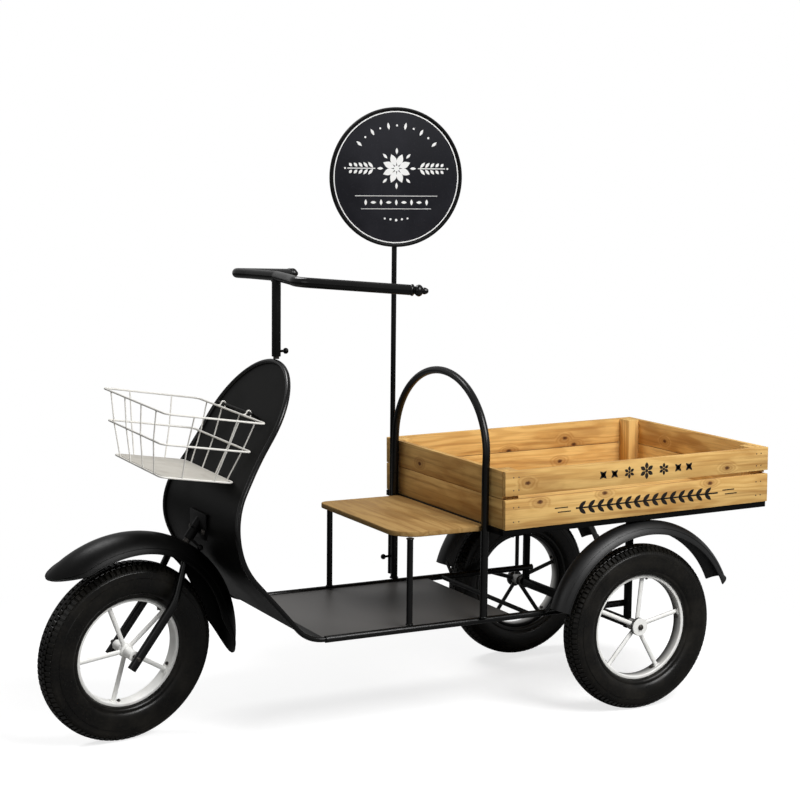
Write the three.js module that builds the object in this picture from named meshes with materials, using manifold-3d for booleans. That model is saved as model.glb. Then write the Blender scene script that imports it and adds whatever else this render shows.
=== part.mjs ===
// Flower cart stand: a three-wheeled display cart with a raked front fork, a leg shield that
// bends into a footboard, a small wooden seat, a slatted crate over the rear axle, a wire basket
// and a round sign on a pole. Millimetres, +Z up, the cart faces -X, its left side is -Y.
import * as THREE from "three";
import { mergeVertices, mergeGeometries } from "three/addons/utils/BufferGeometryUtils.js";
import Module from "manifold-3d";

const wasm = await Module();
wasm.setup();

// ---- driving dimensions: x runs to the rear from close to the front axle, z from the floor ----
const front_axle_x = 3;
const rear_axle_x = 1197;
const half_track = 279;
const front_wheel_radius = 210.5;
const rear_wheel_radius = 201.5;
const rim_radius = 128;
const rim_width = 31;
const tyre_width = 66;
const spoke_count = 5;
const spoke_diameter = 11;
const wheel_segments = 32;
const fit_gap = 0.3;

const rake = THREE.MathUtils.degToRad(36);
const steer_angle = THREE.MathUtils.degToRad(11);
const crown_x = 132;
const crown_z = 428;
const fork_tube = 21;
const fork_half_width = 54;
const fork_trail = 4.5;

const shield_top = new THREE.Vector2(368.5, 855);
const shield_knee = new THREE.Vector2(141, 481);
const shield_foot_x = 350;
const shield_half_width = 194;
const shield_flare = 42;
const shield_crown_length = 178;
const sheet_thickness = 2.5;
const edge_rod = 12;

const floor_height = 245;
const footboard_rear_x = 888;
const rail_half_spacing = 220;
const rail_diameter = 16;
const upright_x = 1200;
const upright_y = 236;
const upright_bar = 15;

const seat_height = 470;
const seat_thickness = 13;
const seat_front_x = 579;
const seat_rear_x = 806;
const seat_half_width = 217;
const seat_left_corner = 62;
const seat_right_corner = 22;
const seat_leg_x = 609;
const seat_leg_y = 214;
const seat_leg_diameter = 14.5;

const arch_x = 798;
const arch_half_width = 227.5;
const arch_spring_height = 627;
const arch_top = 820;
const arch_lean_height = 600;
const arch_lean = 8;
const arch_tube = 18;

const crate_front_x = 811;
const crate_length = 757;
const crate_width = 596;
const crate_base = 471;
const crate_slope = 0.0146;
const plank_thickness = 13;
const lower_plank = 70;
const crate_height = 136.5;
const slat_gap = 9;
const hairline_gap = 1.5;
const frame_height = 14;

const sign_radius = 173;
const sign_height = 1271;
const sign_turn = THREE.MathUtils.degToRad(-9.3);
const pole_x = 799.3;
const pole_y = 245.3;
const pole_diameter = 13;
const socket_base = 262;
const socket_top = 440;

const stem_x = 369;
const bar_height = 1046.5;
const stem_diameter = 21;
const bar_diameter = 23;

const basket_length = 240;
const basket_width = 380;
const basket_depth = 144;
const basket_centre = new THREE.Vector3(140, 0, 760);
const basket_wire = 4.6;
const basket_thin_wire = 3.4;

// ---- finishes ----
function finish(color, roughness, metalness) {
  return new THREE.MeshStandardMaterial({ color, roughness, metalness });
}
const black_paint = () => finish(0x17171a, 0.42, 0.1);
const deck_paint = () => finish(0x4b4845, 0.6, 0.1);
const cream_paint = () => finish(0xe9e4d6, 0.45, 0.05);
const rubber = () => finish(0x151515, 0.85, 0);
const pine = () => finish(0xc0905a, 0.7, 0);
const steel = () => finish(0x55565a, 0.35, 0.9);

const cart = new THREE.Group();

function add(name, geometry, material, parent = cart) {
  const mesh = new THREE.Mesh(geometry, material);
  mesh.name = name;
  parent.add(mesh);
  return mesh;
}

// ---- solids: boolean joins and cuts on closed geometries ----
function plain(geometry) {
  const copy = geometry.clone();
  copy.deleteAttribute("normal");
  copy.deleteAttribute("uv");
  return mergeVertices(copy, 1e-4);
}

function solid(geometry) {
  const merged = plain(geometry);
  const mesh = new wasm.Mesh({
    numProp: 3,
    vertProperties: Float32Array.from(merged.attributes.position.array),
    triVerts: Uint32Array.from(merged.index.array),
  });
  return new wasm.Manifold(mesh);
}

function surface(manifold) {
  const mesh = manifold.getMesh();
  const geometry = new THREE.BufferGeometry();
  geometry.setAttribute("position", new THREE.BufferAttribute(mesh.vertProperties, 3));
  geometry.setIndex(new THREE.BufferAttribute(mesh.triVerts, 1));
  return geometry;
}

function joined(geometries) {
  const solids = geometries.map(solid);
  return surface(solids.reduce((sum, next) => sum.add(next)));
}

function cut(geometry, cutters) {
  const body = solid(geometry);
  return surface(cutters.map(solid).reduce((rest, tool) => rest.subtract(tool), body));
}

// ---- shape helpers ----
const at = (x, y, z) => new THREE.Vector3(x, y, z);

function closedSurface(positions, index) {
  const geometry = new THREE.BufferGeometry();
  geometry.setAttribute("position", new THREE.Float32BufferAttribute(positions, 3));
  geometry.setIndex(index);
  return geometry;
}

// Joins equal rings of points into a closed skin. "fan" caps suit round rings; "strip" caps suit
// rings that run out along one face of a sheet and back along the other.
function loft(rings, cap = "fan") {
  const count = rings[0].length;
  const positions = rings.flatMap((ring) => ring.flatMap((point) => point.toArray()));
  const index = [];
  for (let row = 0; row + 1 < rings.length; row += 1) {
    for (let col = 0; col < count; col += 1) {
      const next = (col + 1) % count;
      const a = row * count + col;
      const b = row * count + next;
      index.push(a, b, b + count, a, b + count, a + count);
    }
  }
  const last = (rings.length - 1) * count;
  if (cap === "fan") {
    for (let col = 1; col + 1 < count; col += 1) {
      index.push(0, col + 1, col, last, last + col, last + col + 1);
    }
  } else {
    for (let col = 0; col + 1 < count / 2; col += 1) {
      const back = count - 1 - col;
      index.push(col, back, back - 1, col, back - 1, col + 1);
      index.push(last + col, last + back - 1, last + back, last + col, last + col + 1, last + back - 1);
    }
  }
  return closedSurface(positions, index);
}

// Replaces each inner corner of a polyline by an arc of the given radius.
function rounded(points, radius, arc_steps = 4, loop = false) {
  const out = [];
  const count = points.length;
  points.forEach((corner, i) => {
    if (!loop && (i === 0 || i === count - 1)) {
      out.push(corner.clone());
      return;
    }
    const before = points[(i + count - 1) % count].clone().sub(corner).normalize();
    const after = points[(i + 1) % count].clone().sub(corner).normalize();
    const half = before.angleTo(after) / 2;
    const centre = before.clone().add(after).normalize().multiplyScalar(radius / Math.sin(half));
    const start = before.clone().multiplyScalar(radius / Math.tan(half)).sub(centre);
    const end = after.clone().multiplyScalar(radius / Math.tan(half)).sub(centre);
    const sweep = start.angleTo(end);
    for (let k = 0; k <= arc_steps; k += 1) {
      const t = k / arc_steps;
      const point = start.clone().multiplyScalar(Math.sin((1 - t) * sweep) / Math.sin(sweep));
      point.addScaledVector(end, Math.sin(t * sweep) / Math.sin(sweep));
      out.push(point.add(centre).add(corner));
    }
  });
  return out;
}

// A round bar along a polyline, with mitred rings and flat ends.
function tube(points, diameter, sides = 10, loop = false) {
  const count = points.length;
  const tangentAt = (i) => {
    const previous = points[loop ? (i + count - 1) % count : Math.max(i - 1, 0)];
    const next = points[loop ? (i + 1) % count : Math.min(i + 1, count - 1)];
    const into = points[i].clone().sub(previous).normalize();
    const out = next.clone().sub(points[i]).normalize();
    return into.add(out).normalize();
  };
  const up = Math.abs(tangentAt(0).z) > 0.9 ? at(1, 0, 0) : at(0, 0, 1);
  let side = up.clone().cross(tangentAt(0)).normalize();
  const rings = points.map((point, i) => {
    const tangent = tangentAt(i);
    side = side.clone().addScaledVector(tangent, -side.dot(tangent)).normalize();
    const other = tangent.clone().cross(side);
    const previous = points[loop ? (i + count - 1) % count : Math.max(i - 1, 0)];
    const into = point.clone().sub(previous);
    const bend = into.length() > 0 ? into.normalize().cross(tangent) : at(0, 0, 0);
    const mitre = bend.length() > 1e-6 ? 1 / Math.sqrt(1 - bend.lengthSq()) : 1;
    const wide = bend.length() > 1e-6 ? bend.clone().normalize().cross(tangent) : side;
    return Array.from({ length: sides }, (_, k) => {
      const turn = (2 * Math.PI * (k + 0.5)) / sides;
      const spoke = side.clone().multiplyScalar(Math.cos(turn)).addScaledVector(other, Math.sin(turn));
      spoke.addScaledVector(wide, spoke.dot(wide) * (mitre - 1));
      return spoke.multiplyScalar(diameter / 2).add(point);
    });
  });
  if (!loop) {
    return loft(rings);
  }
  const first = rings[0];
  const shift = nearestShift(rings[count - 1], first);
  const positions = rings.flatMap((ring) => ring.flatMap((point) => point.toArray()));
  const index = [];
  for (let row = 0; row < count; row += 1) {
    const offset = row === count - 1 ? shift : 0;
    for (let col = 0; col < sides; col += 1) {
      const a = row * sides + col;
      const b = row * sides + ((col + 1) % sides);
      const c = ((row + 1) % count) * sides + ((col + offset) % sides);
      const d = ((row + 1) % count) * sides + ((col + 1 + offset) % sides);
      index.push(a, b, d, a, d, c);
    }
  }
  return closedSurface(positions, index);
}

function nearestShift(from, to) {
  const distances = to.map((_, shift) => from[0].distanceTo(to[shift]));
  return distances.indexOf(Math.min(...distances));
}

const bar = (start, end, diameter, sides = 12) => tube([start, end], diameter, sides);

function box(x0, x1, y0, y1, z0, z1) {
  const geometry = new THREE.BoxGeometry(x1 - x0, y1 - y0, z1 - z0);
  return geometry.translate((x0 + x1) / 2, (y0 + y1) / 2, (z0 + z1) / 2);
}

function centredBox(x, y, width, z0, z1) {
  const half = width / 2;
  return box(x - half, x + half, y - half, y + half, z0, z1);
}

// A turned shape: the profile is [radius, distance along the axis] pairs, turned about the
// direction "axis" from "base".
function turned(profile, segments, base, axis) {
  const points = profile.map(([radius, along]) => new THREE.Vector2(Math.max(radius, 0), along));
  const geometry = new THREE.LatheGeometry(points, segments);
  const turn = new THREE.Quaternion().setFromUnitVectors(at(0, 1, 0), axis.clone().normalize());
  geometry.applyQuaternion(turn).translate(base.x, base.y, base.z);
  return outward(plain(geometry));
}

// Turns the faces over where the signed volume shows that they point inwards.
function outward(geometry) {
  const p = geometry.attributes.position;
  const index = geometry.index.array;
  let volume = 0;
  for (let i = 0; i < index.length; i += 3) {
    const [a, b, c] = [0, 1, 2].map((k) => new THREE.Vector3().fromBufferAttribute(p, index[i + k]));
    volume += a.dot(b.cross(c));
  }
  if (volume < 0) {
    for (let i = 0; i < index.length; i += 3) {
      [index[i + 1], index[i + 2]] = [index[i + 2], index[i + 1]];
    }
  }
  return geometry;
}

// A sheet of even thickness over rows of points. Each row holds [point, outward normal] pairs.
function sheet(rows, thickness) {
  const rings = rows.map((row) => {
    const outer = row.map(([point, normal]) => point.clone().addScaledVector(normal, thickness / 2));
    const inner = row.map(([point, normal]) => point.clone().addScaledVector(normal, -thickness / 2));
    return [...outer, ...inner.reverse()];
  });
  return outward(loft(rings, "strip"));
}

const smooth = (t) => {
  const k = THREE.MathUtils.clamp(t, 0, 1);
  return k * k * (3 - 2 * k);
};

// ---- wheels: each wheel is built on the Y axis and moved to its place ----
function tyre(radius) {
  const half = tyre_width / 2;
  const bead = rim_radius + fit_gap;
  const wall = (radius + bead) / 2;
  const right = [
    [bead, half * 0.52],
    [bead + 6, half * 0.78],
    [wall - 12, half * 0.98],
    [wall + 12, half],
    [radius - 12, half * 0.85],
    [radius - 4, half * 0.56],
    [radius, half * 0.24],
  ];
  const left = right.map(([r, y]) => [r, -y]).reverse();
  return turned([...left, ...right, left[0]], wheel_segments, at(0, 0, 0), at(0, 1, 0));
}

function rim() {
  const half = rim_width / 2;
  const inner = rim_radius - 8;
  const well = rim_radius - 4.5;
  const profile = [
    [inner, -half + 2],
    [rim_radius, -half],
    [rim_radius, -half + 4],
    [well, -half + 5],
    [well, half - 5],
    [rim_radius, half - 4],
    [rim_radius, half],
    [inner, half - 2],
    [inner, -half + 2],
  ];
  return turned(profile, wheel_segments, at(0, 0, 0), at(0, 1, 0));
}

// Five round spokes welded to a hub, with a bore along the axle.
function spider(hub, first_spoke) {
  const reach = rim_radius - 8 - 1.2;
  const parts = [turned(hub.profile, 20, at(0, 0, 0), at(0, 1, 0))];
  for (let k = 0; k < spoke_count; k += 1) {
    const turn = first_spoke + (2 * Math.PI * k) / spoke_count;
    const out = at(Math.cos(turn), 0, Math.sin(turn));
    parts.push(bar(out.clone().multiplyScalar(hub.spoke_start), out.multiplyScalar(reach), spoke_diameter, 8));
  }
  const bore = bar(at(0, -200, 0), at(0, 200, 0), hub.bore, 16);
  return cut(joined(parts), [bore]);
}

function wheel(prefix, radius, hub, first_spoke, parent) {
  const group = new THREE.Group();
  add(`${prefix}_tyre`, tyre(radius), rubber(), group);
  add(`${prefix}_rim`, rim(), cream_paint(), group);
  add(`${prefix}_hub_and_spokes`, spider(hub, first_spoke), cream_paint(), group);
  parent.add(group);
  return group;
}

// ---- front fork, built straight ahead and then turned about the raked steering axis ----
const steer_axis = at(Math.sin(rake), 0, Math.cos(rake));
const crown = at(crown_x, 0, crown_z);
const along_steering = (distance) => crown.clone().addScaledVector(steer_axis, distance);
const fork = new THREE.Group();
const axle_diameter = 10;
const axle_centre = at(front_axle_x, 0, front_wheel_radius);

function forkLegPath(side) {
  const down = at(-Math.sin(rake), 0, -Math.cos(rake));
  const behind = at(Math.cos(rake), 0, -Math.sin(rake)).multiplyScalar(fork_trail);
  const foot = axle_centre.clone().add(behind).addScaledVector(down, 28);
  const elbow = axle_centre.clone().add(behind).addScaledVector(down, -150);
  foot.y = side * fork_half_width;
  elbow.y = side * fork_half_width;
  const top = at(crown_x - 5, side * 35, crown_z - 7);
  return rounded([foot, elbow, top], 120, 3);
}

function frontHub() {
  const half = fork_half_width - fork_tube / 2 - 1.2;
  const profile = [[0, -half], [12, -half], [12, -9], [16, -7], [16, 7], [12, 9], [12, half], [0, half]];
  return { profile, spoke_start: 8, bore: axle_diameter + 0.8 };
}

// How far the width has grown at a distance from an end that is rounded off over "taper".
function endShare(distance, taper) {
  const part = taper > 0 ? Math.min(1, Math.abs(distance) / taper) : 1;
  return Math.sqrt(1 - (1 - part) ** 2);
}

// A mudguard: a domed strip round the wheel whose ends can be rounded off in plan. The dome can
// deepen from one end to the other.
function fender(shape) {
  const { centre, crown_radius, edge, from, to, from_taper, to_taper, steps, columns } = shape;
  const rows = [];
  for (let i = 0; i <= steps; i += 1) {
    const angle = THREE.MathUtils.degToRad(from + ((to - from) * i) / steps);
    const degrees = THREE.MathUtils.radToDeg(angle);
    const width_share = endShare(degrees - from, from_taper) * endShare(to - degrees, to_taper);
    const half = edge * Math.max(width_share, 0.1);
    const dome = THREE.MathUtils.lerp(shape.dome_from, shape.dome_to, smooth((i / steps - 0.3) / 0.6));
    const row = [];
    for (let col = 0; col <= columns; col += 1) {
      const y = half * ((2 * col) / columns - 1);
      const drop = Math.sqrt(1 - (y / shape.dome_width) ** 2);
      const radius = crown_radius - dome + dome * drop;
      const slope = (dome * y) / (shape.dome_width ** 2 * drop);
      const out = at(Math.cos(angle), slope, Math.sin(angle)).normalize();
      const point = at(centre.x + radius * Math.cos(angle), centre.y + y, centre.z + radius * Math.sin(angle));
      row.push([point, out]);
    }
    rows.push(row);
  }
  return sheet(rows, 2.2);
}

function buildFork() {
  const reach = fork_half_width + fork_tube / 2;
  const axle_end = (y) => at(axle_centre.x, y, axle_centre.z);
  const axle = bar(axle_end(-reach - 5), axle_end(reach + 5), axle_diameter + 2 * fit_gap, 16);
  for (const [name, side] of [["fork_leg_left", -1], ["fork_leg_right", 1]]) {
    add(name, cut(tube(forkLegPath(side), fork_tube, 12), [axle]), black_paint(), fork);
  }
  const plate = new THREE.BoxGeometry(30, 80, 9).rotateY(rake).translate(...along_steering(-8).toArray());
  const sleeves = [-1, 1].map((side) => tube(forkLegPath(side), fork_tube + 2 * fit_gap, 12));
  add("fork_crown", cut(plate, sleeves), black_paint(), fork);
  const steerer = bar(along_steering(-3.2), along_steering(135), 16);
  add("steerer", steerer, steel(), fork);
  const nut = turned([[0, 0], [13, 0], [13, 9], [0, 9]], 6, along_steering(123), steer_axis);
  const thread = bar(along_steering(110), along_steering(140), 16 + 2 * fit_gap, 12);
  add("steerer_nut", cut(nut, [thread]), steel(), fork);
  add("front_axle", bar(axle_end(-reach), axle_end(reach), axle_diameter, 12), steel(), fork);
  const guard = fender({
    centre: at(front_axle_x, 0, 206),
    crown_radius: 282,
    dome_from: 51,
    dome_to: 88,
    dome_width: 62,
    edge: 58,
    from: 134.5,
    to: -9,
    from_taper: 17,
    to_taper: 28,
    steps: 24,
    columns: 6,
  });
  const opening = bar(along_steering(4), along_steering(45), 23, 16);
  add("front_fender", cut(guard, [opening]), black_paint(), fork);
  const front_wheel = wheel("front_wheel", front_wheel_radius, frontHub(), THREE.MathUtils.degToRad(113), fork);
  front_wheel.position.copy(axle_centre);
  const turn = new THREE.Quaternion().setFromAxisAngle(steer_axis, steer_angle);
  fork.quaternion.copy(turn);
  fork.position.copy(crown.clone().sub(crown.clone().applyQuaternion(turn)));
  fork.updateMatrixWorld(true);
  const lowest = new THREE.Box3().setFromObject(front_wheel, true).min.z;
  fork.position.addScaledVector(steer_axis, -lowest / steer_axis.z);
  cart.add(fork);
}

// ---- rear wheels on stub axles ----
const rear_axle = (side) => at(rear_axle_x, side * half_track, rear_wheel_radius);

function buildRearWheel(name, side, first_spoke) {
  const hub = {
    profile: [[0, -22], [14, -22], [14, 3], [19, 6], [19, 17], [0, 17]],
    spoke_start: 9,
    bore: axle_diameter + 0.8,
  };
  const group = wheel(`${name}_wheel`, rear_wheel_radius, hub, THREE.MathUtils.degToRad(first_spoke), cart);
  if (side < 0) {
    group.rotation.z = Math.PI;
  }
  group.position.copy(rear_axle(side));
  const inner = half_track - upright_y - upright_bar / 2;
  const stub = [
    [0, -inner + fit_gap],
    [11, -inner + fit_gap],
    [11, -22 - fit_gap],
    [5, -22 - fit_gap],
    [5, 17 + fit_gap],
    [7, 17 + fit_gap],
    [7, 20],
    [5, 22],
    [0, 22],
  ];
  add(`${name}_axle`, turned(stub, 16, rear_axle(side), at(0, side, 0)), steel());
}

// ---- leg shield and its edge rod ----
const shieldProfile = (() => {
  const knee = 165;
  const corner = [
    at(shield_top.x, 0, shield_top.y),
    at(shield_knee.x, 0, shield_knee.y),
    at(shield_foot_x, 0, floor_height),
  ];
  const upper = rounded(corner, knee, 10).slice(0, -1);
  const lower = rounded([upper.at(-1), corner[2], at(shield_foot_x + 90, 0, floor_height)], 90, 4);
  return [...upper.slice(0, -1), ...lower.slice(0, -1)];
})();

function profileLength() {
  let length = 0;
  for (let i = 1; i < shieldProfile.length; i += 1) {
    length += shieldProfile[i].distanceTo(shieldProfile[i - 1]);
  }
  return length;
}

const shield_length = profileLength();

function profileAt(distance) {
  let rest = distance;
  for (let i = 1; i < shieldProfile.length; i += 1) {
    const step = shieldProfile[i].distanceTo(shieldProfile[i - 1]);
    if (rest <= step || i === shieldProfile.length - 1) {
      const tangent = shieldProfile[i].clone().sub(shieldProfile[i - 1]).normalize();
      const point = shieldProfile[i - 1].clone().addScaledVector(tangent, rest);
      return { point, normal: at(tangent.z, 0, -tangent.x) };
    }
    rest -= step;
  }
  return null;
}

// The outline of the shield drawn in by "inset": an oval top, a flare at the knees and a draw-in to
// the footboard. Each station is a distance down the sheet from its top edge and a half width.
function shieldOutline(inset) {
  const stations = [];
  const crown_steps = 8;
  for (let k = 0; k <= crown_steps; k += 1) {
    const turn = (Math.PI / 2) * (0.06 + (0.94 * k) / crown_steps);
    const distance = shield_crown_length - (shield_crown_length - inset) * Math.cos(turn);
    stations.push({ distance, half: (shield_half_width - inset) * Math.sin(turn) });
  }
  const steps = 15;
  const foot_half = rail_half_spacing + edge_rod / 2;
  for (let k = 1; k <= steps; k += 1) {
    const distance = shield_crown_length + ((shield_length - shield_crown_length) * k) / steps;
    const flare = shield_flare * smooth((distance - 210) / 240);
    const draw_in = (shield_half_width + shield_flare - foot_half) * smooth((distance - 600) / 140);
    stations.push({ distance, half: shield_half_width + flare - draw_in - inset });
  }
  return stations;
}

function buildShield() {
  const rows = shieldOutline(edge_rod + 0.8).map(({ distance, half }) => {
    const { point, normal } = profileAt(distance);
    return [-1, 1].map((share) => [at(point.x, half * share, point.z), normal]);
  });
  const plate = sheet(rows, sheet_thickness);
  const opening = bar(along_steering(40), along_steering(130), 24);
  add("leg_shield", cut(plate, [opening]), black_paint());

  const edge = shieldOutline(edge_rod / 2);
  const side_points = (side) => edge.map(({ distance, half }) => {
    const { point } = profileAt(distance);
    return at(point.x, side * half, point.z);
  });
  const path = [...side_points(-1).reverse(), ...side_points(1)];
  add("shield_edge_rod", tube(path, edge_rod, 8), black_paint());
}

function buildHeadTube() {
  const socket = [[0, 0], [11, 0], [11, 86], [0, 86]];
  const tube_body = turned(socket, 12, along_steering(32), steer_axis);
  const face_x = Math.min(...shieldProfile.map((point) => point.x)) - sheet_thickness / 2 - fit_gap;
  const bolt_z = 474;
  const plate = box(face_x - 4, face_x, -50, 50, 456, 516);
  const holes = [-38, 38].map((y) => bar(at(face_x - 10, y, bolt_z), at(face_x + 10, y, bolt_z), 8.6, 12));
  const bore = bar(along_steering(20), along_steering(125), 16.8);
  const screw_out = at(0.3, -0.85, -0.43).normalize();
  const screw_seat = along_steering(37);
  const screw_hole = bar(screw_seat, screw_seat.clone().addScaledVector(screw_out, 20), 6.8, 12);
  add("head_tube", cut(joined([tube_body, plate]), [bore, screw_hole, ...holes]), black_paint());
  const screw_tip = screw_seat.clone().addScaledVector(screw_out, 8.6);
  add("head_screw", thumbScrew(screw_tip, screw_out, 30), black_paint());
  for (const [name, y] of [["head_bolt_left", -38], ["head_bolt_right", 38]]) {
    const screw = [[0, -9.3], [6, -9.3], [7, -8], [7, -4.3], [4, -4.3], [4, -0.6], [0, -0.6]];
    add(name, turned(screw, 12, at(face_x, y, bolt_z), at(1, 0, 0)), steel());
  }
}

// ---- chassis ----
const frame_top = (x) => crate_base + crate_slope * (x - crate_front_x);

function buildChassis() {
  const start = shield_foot_x + 43;
  for (const [name, side] of [["left", -1], ["right", 1]]) {
    const y = side * rail_half_spacing;
    const rail_end = at(upright_x + upright_bar / 2, y, floor_height);
    const rail = bar(at(start, y, floor_height), rail_end, rail_diameter);
    add(`side_rail_${name}`, rail, black_paint());
    const top = frame_top(upright_x) - frame_height - 0.6;
    const post = centredBox(upright_x, side * upright_y, upright_bar, rear_wheel_radius - 14, top);
    add(`rear_upright_${name}`, post, black_paint());
    const leg_base = floor_height + rail_diameter / 2 + fit_gap;
    const leg_top = seat_height - seat_thickness - fit_gap;
    const leg_y = side * seat_leg_y;
    const leg = bar(at(seat_leg_x, leg_y, leg_base), at(seat_leg_x, leg_y, leg_top), seat_leg_diameter);
    add(`seat_leg_${name}`, leg, black_paint());
  }
  const reach = rail_half_spacing - rail_diameter / 2 - fit_gap;
  const plate = box(start, footboard_rear_x, -reach, reach, floor_height - 1.5, floor_height + 1.5);
  add("footboard", plate, deck_paint());
  add("cross_rod", bar(at(932, -reach, floor_height), at(932, reach, floor_height), 11), black_paint());
  const beam_end = upright_y - upright_bar / 2 - fit_gap;
  const beam_at = (y) => at(rear_axle_x, y, rear_wheel_radius);
  const beam = bar(beam_at(-beam_end), beam_at(beam_end), 24);
  add("axle_beam", beam, black_paint());
}

function buildArch() {
  const foot = floor_height + rail_diameter / 2 + fit_gap;
  const lean_slope = arch_lean / (arch_top - arch_lean_height);
  const leaning = (z) => arch_x + lean_slope * Math.max(0, z - arch_lean_height);
  const path = [at(arch_x, -arch_half_width, foot), at(arch_x, -arch_half_width, arch_lean_height)];
  for (let k = 0; k <= 18; k += 1) {
    const turn = Math.PI - (k * Math.PI) / 18;
    const z = arch_spring_height + (arch_top - arch_tube / 2 - arch_spring_height) * Math.sin(turn);
    path.push(at(leaning(z), arch_half_width * Math.cos(turn), z));
  }
  path.push(at(arch_x, arch_half_width, arch_lean_height), at(arch_x, arch_half_width, foot));
  add("arch_hoop", tube(path, arch_tube, 10), black_paint());
}

function buildSeat() {
  const outline = new THREE.Shape();
  outline.moveTo(seat_rear_x, -seat_half_width);
  outline.lineTo(seat_rear_x, seat_half_width);
  outline.lineTo(seat_front_x + seat_right_corner, seat_half_width);
  const round = (radius, side, from) => {
    const centre_y = side * (seat_half_width - radius);
    outline.absarc(seat_front_x + radius, centre_y, radius, from, from + Math.PI / 2, false);
  };
  round(seat_right_corner, 1, Math.PI / 2);
  round(seat_left_corner, -1, Math.PI);
  const options = { depth: seat_thickness, bevelEnabled: false, curveSegments: 8 };
  const board = new THREE.ExtrudeGeometry(outline, options);
  board.translate(0, 0, seat_height - seat_thickness);
  add("seat_board", plain(board), pine());
}

function buildRearFender(name, side) {
  const centre = at(rear_axle_x + 12, side * 280, 195);
  const guard = fender({
    centre,
    crown_radius: 265,
    dome_from: 44,
    dome_to: 44,
    dome_width: 35.5,
    edge: 33,
    from: 23.5,
    to: 164,
    from_taper: 0,
    to_taper: 0,
    steps: 18,
    columns: 4,
  });
  const stay = bar(at(968, side * 232, 250), at(968, side * 256, 273.3), 8, 8);
  const stud_top = frame_top(centre.x) - frame_height - 0.6;
  const stud = bar(at(centre.x, centre.y, centre.z + 262), at(centre.x, centre.y, stud_top), 12, 8);
  add(name, joined([guard, stay, stud]), black_paint());
}

// ---- crate on its frame, sloping up a little to the rear ----
function buildCrate() {
  const crate = new THREE.Group();
  crate.position.set(crate_front_x, 0, crate_base);
  crate.rotation.y = -crate_slope;
  const length = crate_length;
  const half = crate_width / 2;
  const t = plank_thickness;
  const base = fit_gap;

  const over_axle = rear_axle_x - crate_front_x;
  const rails = [
    box(-3.2, length - 2, -half + 4, -half + 24, -frame_height, 0),
    box(-3.2, length - 2, half - 24, half - 4, -frame_height, 0),
    box(-3.2, 17, -half + 5, half - 5, -frame_height, 0),
    box(length - 22, length - 2, -half + 5, half - 5, -frame_height, 0),
    box(over_axle - 10, over_axle + 10, -half + 5, half - 5, -frame_height, 0),
  ];
  add("crate_frame", joined(rails), black_paint(), crate);

  const upper_near = lower_plank + slat_gap;
  const upper_far = lower_plank + hairline_gap;
  const planks = [
    ["crate_left_lower_plank", -half, -half + t, base, lower_plank],
    ["crate_left_upper_plank", -half, -half + t, upper_near, crate_height],
    ["crate_right_lower_plank", half - t, half, base, lower_plank],
    ["crate_right_upper_plank", half - t, half, upper_far, crate_height],
  ];
  for (const [name, y0, y1, z0, z1] of planks) {
    add(name, box(0, length, y0, y1, z0, z1), pine(), crate);
  }
  const reach = half - t - fit_gap;
  const post = (x0, y0) => box(x0, x0 + 32, y0, y0 + 45, base, crate_height - 0.5);
  const panels = [
    ["crate_front_panel", 0, t - 1],
    ["crate_rear_panel", length - t, length - t - 31],
  ];
  for (const [name, x0, post_x] of panels) {
    const boards = [
      box(x0, x0 + t, -reach, reach, base, lower_plank),
      box(x0, x0 + t, -reach, reach, upper_far, crate_height),
      post(post_x, -reach),
      post(post_x, reach - 45),
    ];
    add(name, joined(boards), pine(), crate);
  }
  const notch = (x0, y0) => box(x0 - 0.6, x0 + 32.6, y0 - 0.6, y0 + 45.6, -1, 12);
  const corners = [t - 1, length - t - 31].flatMap((x0) => [notch(x0, -reach), notch(x0, reach - 45)]);
  const floor = box(t + fit_gap, length - t - fit_gap, -reach, reach, base, base + 10);
  add("crate_floor", cut(floor, corners), pine(), crate);
  cart.add(crate);
}

// ---- sign ----
function buildSign() {
  const depth = socket_top - socket_base;
  const wall = [[6.8, 4], [8.8, 4], [8.8, depth], [6.8, depth], [6.8, 4]];
  const sleeve = turned(wall, 16, at(pole_x, pole_y, socket_base), at(0, 0, 1));
  const plug = bar(at(pole_x, pole_y, socket_base), at(pole_x, pole_y, socket_base + 4.5), 17, 16);
  const screw_z = 307;
  const screw_hole = bar(at(pole_x - 20, pole_y, screw_z), at(pole_x - 3, pole_y, screw_z), 6.8, 12);
  add("pole_socket", cut(joined([sleeve, plug]), [screw_hole]), black_paint());
  add("pole_screw", thumbScrew(at(pole_x - 6.9, pole_y, screw_z), at(-1, 0, 0)), black_paint());

  const pole_base = socket_base + 5;
  const facing = at(Math.sin(sign_turn), -Math.cos(sign_turn), 0);
  const pole_at = (z) => at(pole_x, pole_y, z);
  add("sign_pole", bar(pole_at(pole_base), pole_at(sign_height + 110), pole_diameter, 16), black_paint());
  const face = [
    [0, 0],
    [sign_radius - 2, 0],
    [sign_radius, 2],
    [sign_radius, 9],
    [sign_radius - 7, 9],
    [sign_radius - 8.5, 6],
    [0, 6],
  ];
  const back = at(pole_x, pole_y, sign_height).addScaledVector(facing, pole_diameter / 2 + fit_gap);
  add("sign_disc", turned(face, 44, back, facing), black_paint());
}

// A small round-headed hand screw whose tip is at "tip" and whose head lies along "out".
function thumbScrew(tip, out, shaft = 12) {
  const knob = [[3, 0], [6.3, 1], [7, 5], [5.5, 9.5], [0, 10.5]];
  const head = knob.map(([radius, along]) => [radius, along + shaft]);
  return turned([[0, 0], [3, 0], ...head], 12, tip, out);
}

// ---- handlebar on its stem ----
function handlebarPath() {
  const half = [at(stem_x + 1, 0, bar_height), at(352, -118, bar_height - 1), at(338, -182, bar_height - 2)];
  const left = [...half, at(545, -324, bar_height - 15)];
  const right = left.slice(1).map((point) => at(point.x, -point.y, point.z));
  return rounded([...left.reverse(), ...right], 42, 3);
}

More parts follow.
